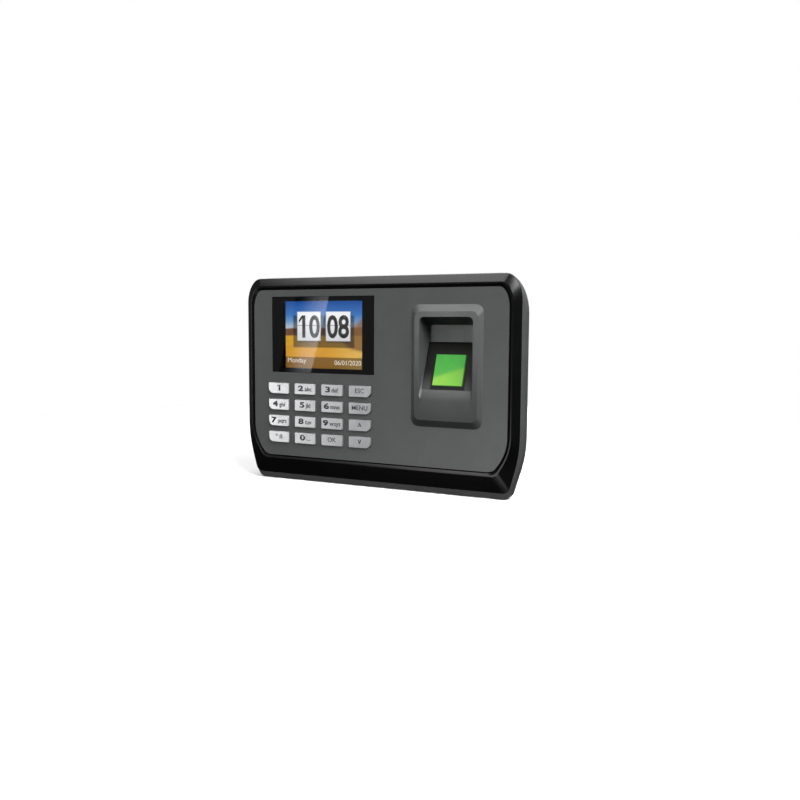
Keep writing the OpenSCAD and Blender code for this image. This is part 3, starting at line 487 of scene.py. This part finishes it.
def surround_material():
    """Black round the glass, with the hood's grey coming up its slope on both sides and darkening to black towards
    the top: the black next to the glass is its frame's own, and the darkening above is a painted shadow under the
    hood's ceiling.
    """
    s = Shader("sensor_plastic", Specular_IOR_Level=0.25)
    across, up = glass_axes(s)
    rim = s.math("MAXIMUM", s.math("ABSOLUTE", across), s.math("ABSOLUTE", up))
    clear_of_glass = s.ramp(rim, 1.05, 1.2)
    # Grey low on the slope, fading to black towards the top: a painted shadow of the hood's ceiling.
    grey_below_painted_shade = s.math("MULTIPLY", clear_of_glass, s.ramp(up, -1.15, 0.35, 1.0, 0.0))
    speck = s.ramp(s.noise(0.4, 2.0), 0.25, 0.75)
    black = s.mix(speck, colour(0.0018, 0.0018, 0.0018), colour(0.0026, 0.0026, 0.0026))
    s.set("Base Color", s.mix(grey_below_painted_shade, black, PLATE_TONE))
    s.set("Roughness", s.math("ADD", s.math("MULTIPLY", speck, 0.08), 0.36))
    s.bump(speck, 0.008)
    return s.material


MATERIALS["green_glass"] = glass_material()
MATERIALS["sensor_black"] = surround_material()

# ---- Finish on the CAD nodes: materials, smooth shading and rounded edges ----

# Radius of the rounded edges, in millimetres, on nodes that show.
EDGE_RADIUS = {
    "front_bezel": 0.22, "front_plate": 0.2, "rear_shell": 0.35, "sensor_hood": 0.45,
    "sensor_housing": 0.15, "prism": 0.12, "display_window": 0.1, "wall_bracket": 0.2,
    "lock_screw": 0.15, "case_screws": 0.12, "usb_port": 0.08, "dc_jack": 0.2,
}
KEY_RADIUS = 0.3
EDGE_SEGMENTS = 3
FLAT_NODES = {
    "front_plate", "display_window", "prism", "sensor_housing", "wall_bracket", "usb_port", "lcd_panel",
    "main_pcb", "keypad_pcb", "sensor_pcb", "processor", "board_chips", "board_sockets",
}
SMOOTH_ANGLE = math.radians(28)
FLAT_ANGLE = math.radians(0.3)
WELD_DISTANCE = 0.002 * MM


def smoothing_nodes(name, smooth):
    """Geometry nodes: welds the imported facets and, if smooth, shades every shallow edge smooth."""
    tree = bpy.data.node_groups.new(name, "GeometryNodeTree")
    tree.interface.new_socket("Geometry", in_out="INPUT", socket_type="NodeSocketGeometry")
    tree.interface.new_socket("Geometry", in_out="OUTPUT", socket_type="NodeSocketGeometry")
    made = {}
    for key, kind in (("in", "NodeGroupInput"), ("weld", "GeometryNodeMergeByDistance"),
                      ("drop", "GeometryNodeRemoveAttribute"), ("faces", "GeometryNodeSetShadeSmooth"),
                      ("sharp", "GeometryNodeSetShadeSmooth"), ("angle", "GeometryNodeInputMeshEdgeAngle"),
                      ("over", "FunctionNodeCompare"), ("out", "NodeGroupOutput")):
        made[key] = tree.nodes.new(kind)
    made["weld"].inputs["Distance"].default_value = WELD_DISTANCE
    made["drop"].inputs["Name"].default_value = "custom_normal"
    made["faces"].inputs["Shade Smooth"].default_value = smooth
    made["sharp"].domain = "EDGE"
    made["sharp"].inputs["Shade Smooth"].default_value = False
    made["over"].operation = "GREATER_THAN"
    made["over"].inputs[1].default_value = SMOOTH_ANGLE
    for a, b in (("in", "weld"), ("weld", "drop"), ("drop", "faces"), ("faces", "sharp"), ("sharp", "out")):
        tree.links.new(made[a].outputs[0], made[b].inputs[0])
    tree.links.new(made["angle"].outputs["Unsigned Angle"], made["over"].inputs[0])
    tree.links.new(made["over"].outputs[0], made["sharp"].inputs["Selection"])
    return tree


CURVED = smoothing_nodes("weld_and_smooth", True)
FLAT = smoothing_nodes("weld_flat", False)


def round_edges(piece, radius_mm, curved):
    piece.modifiers.new("weld", "NODES").node_group = CURVED if curved else FLAT
    if radius_mm:
        flats = piece.modifiers.new("join_flat_facets", "DECIMATE")
        flats.decimate_type = "DISSOLVE"
        flats.angle_limit = FLAT_ANGLE
        bevel = piece.modifiers.new("edges", "BEVEL")
        bevel.width = radius_mm * MM
        bevel.segments = EDGE_SEGMENTS
        bevel.limit_method = "ANGLE"
        bevel.angle_limit = SMOOTH_ANGLE
        bevel.use_clamp_overlap = True
        if curved:
            weighted = piece.modifiers.new("face_weighted", "WEIGHTED_NORMAL")
            weighted.keep_sharp = True


SLOT_OF = {part["node"]: part["material_slot"] for part in RECORD["subparts"]}
for node_name, cad_piece in NODES.items():
    radius = KEY_RADIUS if node_name.startswith("key_") else EDGE_RADIUS.get(node_name, 0)
    round_edges(cad_piece, radius, node_name not in FLAT_NODES)
    for material_slot in cad_piece.material_slots:
        material_slot.material = MATERIALS[SLOT_OF[node_name]]

# ---- Key mat: a sheet, and sixteen domes under their keys ----

KEY_NAMES = [name for name in NODES if name.startswith("key_")]
MAT_LOW, MAT_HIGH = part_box("keymat")
MAT_THICKNESS = 0.9 * MM
MAT_FRONT = MAT_HIGH.y - MAT_THICKNESS
DOME_FOOT_RADIUS = 2.9 * MM
DOME_TOP_RADIUS = 2.2 * MM
DOME_WEB = 0.6 * MM
DOME_ROOF = 1.2 * MM
# The domes stop this far short of the keys, so that no faces lie in one plane.
DOME_CLEAR = 0.03 * MM
DOME_FRONT = MAT_LOW.y + DOME_CLEAR
PILL_RADIUS = 1.0 * MM
CONTACT_THICKNESS = 0.1 * MM
DOME_STEPS = 40
KEY_TRAVEL = next(j["range_m"][1] for j in frame["joints"] if j["name"] == "key_1_press")
PILL_END = MAT_HIGH.y - CONTACT_THICKNESS - KEY_TRAVEL
MERGE_DISTANCE = 0.001 * MM
LETTER_MERGE_DISTANCE = 0.0001 * MM


def key_centre(node_name):
    low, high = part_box(node_name)
    return (low.x + high.x) / 2, (low.z + high.z) / 2


def mesh_of(carrier):
    """The mesh that a curve or text object makes. The object is removed."""
    bpy.context.view_layer.update()
    mesh = bpy.data.meshes.new_from_object(carrier.evaluated_get(bpy.context.evaluated_depsgraph_get()))
    bpy.data.objects.remove(carrier)
    return mesh


def mesh_piece(name, shape, material):
    """A new object from a bmesh, which is freed. Points that coincide are merged."""
    bmesh.ops.remove_doubles(shape, verts=shape.verts, dist=MERGE_DISTANCE)
    bmesh.ops.recalc_face_normals(shape, faces=shape.faces)
    data = bpy.data.meshes.new(name)
    shape.to_mesh(data)
    shape.free()
    data.materials.append(material)
    piece = bpy.data.objects.new(name, data)
    SCENE.collection.objects.link(piece)
    return piece


def add_dome(node_name):
    """A hollow cone with a pill inside its roof, turned about its key's middle line."""
    x, z = key_centre(node_name)
    roof = DOME_FRONT + DOME_ROOF
    profile = [
        (0, DOME_FRONT), (DOME_TOP_RADIUS, DOME_FRONT), (DOME_FOOT_RADIUS, MAT_FRONT),
        (DOME_FOOT_RADIUS - DOME_WEB, MAT_FRONT), (DOME_TOP_RADIUS - DOME_WEB, roof),
        (PILL_RADIUS, roof), (PILL_RADIUS, PILL_END), (0, PILL_END),
    ]
    shape = bmesh.new()
    points = [shape.verts.new((x + radius, y, z)) for radius, y in profile]
    lines = [shape.edges.new(pair) for pair in zip(points, points[1:])]
    bmesh.ops.spin(shape, geom=points + lines, cent=(x, 0, z), axis=(0, 1, 0), angle=2 * math.pi,
                   steps=DOME_STEPS, use_merge=True)
    piece = mesh_piece("mat_dome_" + node_name[4:], shape, MATERIALS["silicone"])
    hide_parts("keymat")
    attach(piece, "case")
    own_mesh(piece)


def closed_line(curve, points):
    line = curve.splines.new("POLY")
    line.points.add(len(points) - 1)
    for point, (x, z) in zip(line.points, points):
        point.co = (x, z, 0, 1)
    line.use_cyclic_u = True


def add_mat_sheet():
    """The flat of the mat, open behind every dome."""
    curve = bpy.data.curves.new("mat_outline", "CURVE")
    curve.dimensions = "2D"
    curve.fill_mode = "BOTH"
    curve.extrude = MAT_THICKNESS / 2
    closed_line(curve, [(MAT_LOW.x, MAT_LOW.z), (MAT_HIGH.x, MAT_LOW.z),
                        (MAT_HIGH.x, MAT_HIGH.z), (MAT_LOW.x, MAT_HIGH.z)])
    radius = DOME_FOOT_RADIUS - DOME_WEB
    turns = [2 * math.pi * step / DOME_STEPS for step in range(DOME_STEPS)]
    for node_name in KEY_NAMES:
        x, z = key_centre(node_name)
        closed_line(curve, [(x + radius * math.cos(a), z + radius * math.sin(a)) for a in turns])
    carrier = bpy.data.objects.new("mat_outline", curve)
    SCENE.collection.objects.link(carrier)
    flat = mesh_of(carrier)
    middle = (MAT_FRONT + MAT_HIGH.y) / 2
    flat.transform(Matrix.Translation((0, middle, 0)) @ Matrix.Rotation(math.pi / 2, 4, "X"))
    shape = bmesh.new()
    shape.from_mesh(flat)
    piece = mesh_piece("mat_sheet", shape, MATERIALS["silicone"])
    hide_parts("keymat")
    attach(piece, "case")


add_mat_sheet()
for key_name in KEY_NAMES:
    add_dome(key_name)

# ---- Lettering ----


def text_mesh(words, size, bold=0.0, wide=1.0):
    """Flat letters as mesh data: x along the baseline from their left end, y up."""
    curve = bpy.data.curves.new("letters", "FONT")
    curve.body = words
    curve.size = size
    curve.offset = bold
    curve.resolution_u = 4
    carrier = bpy.data.objects.new("letters", curve)
    SCENE.collection.objects.link(carrier)
    mesh = mesh_of(carrier)
    if words[0] == "1":
        add_flag(mesh)
    left = extent(mesh, 0)[0]
    mesh.transform(Matrix.Diagonal((wide, 1, 1, 1)) @ Matrix.Translation((-left, 0, 0)))
    return mesh


# The slanting stroke of a 1, as shares of the digit's height.
FLAG_REACH = 0.22
FLAG_STROKE = 0.15


def add_flag(mesh):
    """Gives a plain bar 1, at the left end of the letters, the short slanting stroke at its top."""
    left = extent(mesh, 0)[0]
    top = extent(mesh, 1)[1]
    reach = FLAG_REACH * top
    stroke = FLAG_STROKE * top
    outline = [(left, top), (left - reach, top - reach), (left - reach, top - reach - stroke),
               (left, top - stroke)]
    letters = bmesh.new()
    letters.from_mesh(mesh)
    letters.faces.new([letters.verts.new((x, y, 0)) for x, y in reversed(outline)])
    letters.to_mesh(mesh)
    letters.free()


def space_mark(width, height, stroke):
    """The open tray that stands for a space, as flat mesh data."""
    half = width / 2
    outline = [(-half, 0), (half, 0), (half, height), (half - stroke, height), (half - stroke, stroke),
               (stroke - half, stroke), (stroke - half, height), (-half, height)]
    mesh = bpy.data.meshes.new("space_mark")
    mesh.from_pydata([(x + half, y, 0) for x, y in outline], [], [tuple(range(len(outline)))])
    return mesh


def extent(mesh, axis):
    values = [p.co[axis] for p in mesh.vertices]
    return min(values), max(values)


def lay_on_front(parts, y, thickness, name, material):
    """One piece from (mesh, x, z) letters laid on a plane that faces -Y, each with a little thickness."""
    joined = bmesh.new()
    for mesh, x, z in parts:
        mesh.transform(Matrix.Translation((x, y, z)) @ Matrix.Rotation(math.pi / 2, 4, "X"))
        joined.from_mesh(mesh)
        bpy.data.meshes.remove(mesh)
    bmesh.ops.remove_doubles(joined, verts=joined.verts, dist=LETTER_MERGE_DISTANCE)
    made = bmesh.ops.extrude_face_region(joined, geom=joined.faces[:])
    moved = [g for g in made["geom"] if isinstance(g, bmesh.types.BMVert)]
    bmesh.ops.translate(joined, verts=moved, vec=(0, -thickness, 0))
    bmesh.ops.recalc_face_normals(joined, faces=joined.faces[:])
    data = bpy.data.meshes.new(name)
    joined.to_mesh(data)
    joined.free()
    data.materials.append(material)
    piece = bpy.data.objects.new(name, data)
    SCENE.collection.objects.link(piece)
    return piece


INK = print_ink("legend_ink", colour(0.02, 0.02, 0.023))
DIGIT_SIZE = 4.9 * MM
LETTER_SIZE = 3.9 * MM
WORD_SIZE = 4.2 * MM
SPACE_MARK = (2.9 * MM, 0.9 * MM, 0.35 * MM)
LEGEND_LIFT = 0.35 * MM
LEGEND_GAP = 0.9 * MM
INK_THICKNESS = 0.02 * MM
# How far each kind of lettering is thickened, and how much a digit is widened.
DIGIT_BOLD = 0.2 * MM
DIGIT_WIDE = 1.6
LETTER_BOLD = 0.09 * MM
WORD_BOLD = 0.04 * MM
ARROW_BOLD = 0.1 * MM
ARROW_SIZE = 1.35 * WORD_SIZE
# How far the baseline of a digit and its letters lies below the legend's middle.
BASE_DROP = 0.33 * DIGIT_SIZE

LEGENDS = {
    "key_1": ("1", ""), "key_2": ("2", "abc"), "key_3": ("3", "def"), "key_esc": ("", "ESC"),
    "key_4": ("4", "ghi"), "key_5": ("5", "jkl"), "key_6": ("6", "mno"), "key_menu": ("", "MENU"),
    "key_7": ("7", "pqrs"), "key_8": ("8", "tuv"), "key_9": ("9", "wxyz"), "key_up": ("", "^"),
    "key_star": ("", "* #"), "key_0": ("0", "_"), "key_ok": ("", "OK"), "key_down": ("", "v"),
}


def add_legend(node_name, digit, letters):
    """The printed legend of one key: a digit, letters, a word, an arrow or a space mark."""
    key_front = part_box(node_name)[0].y
    middle_x, middle_z = key_centre(node_name)
    middle_z += LEGEND_LIFT
    parts = []
    if digit:
        parts.append(text_mesh(digit, DIGIT_SIZE, DIGIT_BOLD, DIGIT_WIDE))
    if letters == "_":
        parts.append(space_mark(*SPACE_MARK))
    elif letters in ("^", "v"):
        parts.append(text_mesh(letters, ARROW_SIZE, ARROW_BOLD))
    elif digit and letters:
        parts.append(text_mesh(letters, LETTER_SIZE, LETTER_BOLD))
    elif letters:
        parts.append(text_mesh(letters, WORD_SIZE, WORD_BOLD))
    widths = [extent(part, 0)[1] for part in parts]
    x = middle_x - (sum(widths) + LEGEND_GAP * (len(parts) - 1)) / 2
    placed = []
    for part, width in zip(parts, widths):
        bottom, top = extent(part, 1)
        if len(parts) == 1:
            base = middle_z - (bottom + top) / 2
        else:
            base = middle_z - BASE_DROP
        placed.append((part, x, base))
        x += width + LEGEND_GAP
    piece = lay_on_front(placed, key_front, INK_THICKNESS, "legend_" + node_name[4:], INK)
    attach(piece, node_name + "_body")


for legend_node, (legend_digit, legend_letters) in LEGENDS.items():
    add_legend(legend_node, legend_digit, legend_letters)


def lit_ink(name, tone, strength):
    """Lettering that is part of the lit picture."""
    s = Shader(name, Roughness=0.5)
    s.set("Base Color", colour(0.005, 0.005, 0.005))
    s.set("Emission Color", s.mix(s.ramp(s.noise(1.5, 2.0), 0.3, 0.7), scaled(tone, 0.8), tone))
    s.bsdf.inputs["Emission Strength"].default_value = strength
    return s.material


def screen_text(name, words, size_mm, u_left, u_right, v_base, material, bold=0.0, v_top=None):
    """Words in the picture, stretched to span u_left to u_right, and up to v_top if it is given."""
    mesh = text_mesh(words, size_mm * MM, bold)
    width = extent(mesh, 0)[1]
    bottom, top = extent(mesh, 1)
    span = (u_right - u_left) * PICTURE_W
    tall = (v_top - v_base) * PICTURE_H / (top - bottom) if v_top else span / width
    mesh.transform(Matrix.Diagonal((span / width, tall, 1, 1)) @ Matrix.Translation((0, -bottom, 0)))
    x = SCREEN_CENTRE.x + (u_left - 0.5) * PICTURE_W
    z = SCREEN_CENTRE.z + (v_base - 0.5) * PICTURE_H
    piece = lay_on_front([(mesh, x, z)], PANEL_FACE, SCREEN_INK, name, material)
    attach(piece, "case")


CLOCK_SIZE_MM = 12
CLOCK_BASE = 0.45
CLOCK_TOP = 0.795
CLOCK_BOLD = 0.3 * MM
WORDS_SIZE_MM = 3.4
WORDS_BASE = 0.055
SCREEN_INK = 0.03 * MM

DARK_DIGIT = lit_ink("clock_digits", colour(0.006, 0.006, 0.007), 1.0)
PALE_WORD = lit_ink("clock_words", colour(0.92, 0.86, 0.72), 0.95)
# Each with the places of its left end, right end and baseline in the picture.
screen_text("clock_hours", "10", CLOCK_SIZE_MM, 0.175, 0.45, CLOCK_BASE, DARK_DIGIT, CLOCK_BOLD, CLOCK_TOP)
screen_text("clock_minutes", "08", CLOCK_SIZE_MM, 0.545, 0.825, CLOCK_BASE, DARK_DIGIT, CLOCK_BOLD, CLOCK_TOP)
screen_text("clock_weekday", "Monday", WORDS_SIZE_MM, 0.025, 0.27, WORDS_BASE, PALE_WORD)
screen_text("clock_date", "06/01/2020", WORDS_SIZE_MM, 0.64, 0.975, WORDS_BASE, PALE_WORD)

# ---- Floor, lights and reflection cards ----

FLOOR_RADIUS = 0.55
FLOOR_CORNERS = 64
FLOOR_GAP = 0.3 * MM


def flat_piece(name, corners, material, uv=None):
    data = bpy.data.meshes.new(name)
    data.from_pydata([tuple(c) for c in corners], [], [tuple(range(len(corners)))])
    if uv:
        layer = data.uv_layers.new(name="span")
        for loop, at in zip(layer.data, uv):
            loop.uv = at
    data.materials.append(material)
    piece = bpy.data.objects.new(name, data)
    SCENE.collection.objects.link(piece)
    return piece


def floor_material():
    s = Shader("floor_paper", Roughness=0.9, Specular_IOR_Level=0.1)
    cloud = s.ramp(s.noise(220.0, 3.0), 0.3, 0.7)
    s.set("Base Color", s.mix(cloud, colour(0.86, 0.86, 0.86), colour(0.90, 0.90, 0.90)))
    s.bump(s.ramp(s.noise(3.0, 3.0), 0.3, 0.7), 0.02)
    return s.material


def make_floor():
    z = CAD_BOX[0][2] - FLOOR_GAP
    turns = [2 * math.pi * i / FLOOR_CORNERS for i in range(FLOOR_CORNERS)]
    corners = [(FLOOR_RADIUS * math.cos(a), FLOOR_RADIUS * math.sin(a), z) for a in turns]
    floor = flat_piece("floor", corners, floor_material())
    floor.visible_diffuse = False
    floor.visible_glossy = False
    floor.visible_shadow = False


# The world's light from below and from above, and the upward share of a direction at which each is reached.
WORLD_LOW = 0.05
WORLD_HIGH = 0.4
WORLD_LOW_AT = -0.3
WORLD_HIGH_AT = 0.9


def make_world():
    """White to the camera. As light on the object it is dim, and dimmer from below than from above."""
    world = bpy.data.worlds.new("studio")
    world.use_nodes = True
    tree = world.node_tree
    background = tree.nodes["Background"]
    path = tree.nodes.new("ShaderNodeLightPath")
    direction = tree.nodes.new("ShaderNodeTexCoord")
    split = tree.nodes.new("ShaderNodeSeparateXYZ")
    tree.links.new(direction.outputs["Generated"], split.inputs[0])
    height = tree.nodes.new("ShaderNodeMapRange")
    tree.links.new(split.outputs[2], height.inputs["Value"])
    height.inputs["From Min"].default_value = WORLD_LOW_AT
    height.inputs["From Max"].default_value = WORLD_HIGH_AT
    height.inputs["To Min"].default_value = WORLD_LOW
    height.inputs["To Max"].default_value = WORLD_HIGH
    strength = tree.nodes.new("ShaderNodeMapRange")
    tree.links.new(path.outputs["Is Camera Ray"], strength.inputs["Value"])
    tree.links.new(height.outputs["Result"], strength.inputs["To Min"])
    strength.inputs["To Max"].default_value = 1.0
    background.inputs["Color"].default_value = (1, 1, 1, 1)
    tree.links.new(strength.outputs["Result"], background.inputs["Strength"])
    SCENE.world = world


def area_light(name, at, aim, width, height, radiance, spread=180.0):
    """A soft box of a given radiance, so its look in a reflection doesn't change with its size."""
    data = bpy.data.lights.new(name, "AREA")
    data.shape = "RECTANGLE"
    data.size = width
    data.size_y = height
    data.energy = radiance * math.pi * width * height
    data.spread = math.radians(spread)
    lamp = bpy.data.objects.new(name, data)
    lamp.location = at
    lamp.rotation_mode = "QUATERNION"
    lamp.rotation_quaternion = (Vector(aim) - Vector(at)).to_track_quat("-Z", "Y")
    lamp.visible_camera = False
    SCENE.collection.objects.link(lamp)
    return lamp


def gloss_light(name, **settings):
    """A soft box that only adds sheen."""
    lamp = area_light(name, **settings)
    lamp.visible_diffuse = False
    return lamp


def light_only(lamp, pieces):
    """Keeps a lamp off everything but the given pieces."""
    lit = bpy.data.collections.new(lamp.name + "_lit")
    for piece in pieces:
        lit.objects.link(piece)
    lamp.light_linking.receiver_collection = lit


def reflected(point, out, distance):
    """The place on the camera's line to point, mirrored where it meets a surface facing out, distance on."""
    ray = (point - CAMERA_AT).normalized()
    ray -= 2 * ray.dot(out) * out
    return point + ray * distance


def card_material(name, tone, strength, fade):
    """Soft-box card: full at u = 1, fading out towards u = 0."""
    material = bpy.data.materials.new(name)
    material.use_nodes = True
    tree = material.node_tree
    tree.nodes.clear()
    span = tree.nodes.new("ShaderNodeUVMap")
    split = tree.nodes.new("ShaderNodeSeparateXYZ")
    level = tree.nodes.new("ShaderNodeMapRange")
    level.interpolation_type = "SMOOTHSTEP"
    level.inputs["From Min"].default_value = 1.0 - fade
    level.inputs["To Max"].default_value = strength
    glow = tree.nodes.new("ShaderNodeEmission")
    glow.inputs["Color"].default_value = tone
    out = tree.nodes.new("ShaderNodeOutputMaterial")
    tree.links.new(span.outputs[0], split.inputs[0])
    tree.links.new(split.outputs[0], level.inputs["Value"])
    tree.links.new(level.outputs["Result"], glow.inputs["Strength"])
    tree.links.new(glow.outputs[0], out.inputs["Surface"])
    return material


def reflection_card(name, points, out, distance, uv, tone, strength, fade):
    """A card that a flat gloss surface mirrors to the camera exactly over the given points."""
    corners = [reflected(p, out, distance) for p in points]
    card = flat_piece(name, corners, card_material(name, tone, strength, fade), uv)
    card.visible_camera = False
    card.visible_diffuse = False
    return card


make_world()
make_floor()

KEY_PIECES = [NODES[name] for name in KEY_NAMES]
FRONT_PIECES = [NODES[name] for name in ("front_plate", "front_bezel", "rear_shell")]

# Soft boxes that light everything.
area_light("top_box", at=(-0.24, -0.38, 0.90), aim=(0, 0, 0), width=0.7, height=0.5, radiance=3.2)
area_light("key_box", at=(0.50, -0.34, 0.52), aim=(0.05, 0, 0), width=0.45, height=0.45, radiance=11.0,
           spread=120)
area_light("left_box", at=(-1.00, -0.75, 0.05), aim=(0, 0, 0), width=0.4, height=0.5, radiance=1.2,
           spread=90)
area_light("back_box", at=(0.1, 0.7, 0.8), aim=(0, 0, 0), width=1.2, height=0.6, radiance=3.0)
area_light("back_fill", at=(-0.35, 1.20, 0.30), aim=(0, 0, 0), width=1.4, height=0.9, radiance=1.6)
gloss_light("bevel_box", at=(-0.22, -0.38, 0.92), aim=(0, 0, 0), width=0.75, height=0.4, radiance=5.0)

# Soft boxes for single pieces: the bezel's corner, the well, the front, the keys and the lower rim.
corner_box = gloss_light("corner_box", at=(0.42, -0.34, 0.80), aim=(0.08, 0, 0.05), width=0.4, height=0.3,
                         radiance=9.0)
light_only(corner_box, [NODES["front_bezel"]])
well_snoot = area_light("well_snoot", at=(-0.05, -0.60, 0.24), aim=(0.05, -0.035, 0.028), width=0.03,
                        height=0.03, radiance=2.6, spread=8)
light_only(well_snoot, [NODES["sensor_hood"]])
low_box = gloss_light("low_box", at=(-0.10, -0.90, -0.34), aim=(0.06, 0, -0.05), width=0.55, height=0.4,
                      radiance=7.0)
light_only(low_box, FRONT_PIECES)
key_strip_box = gloss_light("key_strip_box", at=(-0.30, -0.19, -0.50), aim=(-0.04, -0.04, -0.02), width=0.16,
                            height=0.16, radiance=6.0)
light_only(key_strip_box, KEY_PIECES)
key_sheen_box = gloss_light("key_sheen_box", at=(-0.36, -0.31, -0.05), aim=(-0.07, -0.04, -0.02), width=0.14,
                            height=0.18, radiance=11.0)
light_only(key_sheen_box, KEY_PIECES)
rim_box = area_light("rim_box", at=(0.10, -0.42, -0.55), aim=(0, -0.03, -0.065), width=0.5, height=0.16,
                     radiance=10.0)
light_only(rim_box, [NODES["rear_shell"]])

# A bright wedge over the window, sharp on its right, slanting from top to bottom.
LENS_W = LENS_HIGH.x - LENS_LOW.x
LENS_H = LENS_HIGH.z - LENS_LOW.z


def on_lens(u, v):
    return Vector((LENS_LOW.x + u * LENS_W, LENS_LOW.y, LENS_LOW.z + v * LENS_H))


reflection_card(
    "window_card",
    [on_lens(0.06, -0.02), on_lens(0.385, -0.02), on_lens(0.575, 1.02), on_lens(0.25, 1.02)],
    out=Vector((0, -1, 0)), distance=0.6, uv=[(0, 0), (1, 0), (1, 1), (0, 1)],
    tone=colour(0.92, 0.96, 1.0), strength=1.9, fade=0.9,
)


def on_glass(u, v):
    """A point on the sensor glass, each coordinate from -1 to 1."""
    side = GLASS_SIDE / 2
    return GLASS_CENTRE + Vector((u * side, 0, 0)) + GLASS_UP * (v * side)


# A yellow wedge over the lower part of the sensor glass, rising to the right.
reflection_card(
    "glass_card",
    [on_glass(-1.1, -1.1), on_glass(1.1, -1.1), on_glass(1.1, 0.42), on_glass(-1.1, -0.35)],
    out=GLASS_OUT, distance=0.5, uv=[(1, 0), (0.4, 0), (0.4, 1), (1, 1)],
    tone=colour(1.0, 0.9, 0.15), strength=4.4, fade=1.0,
)
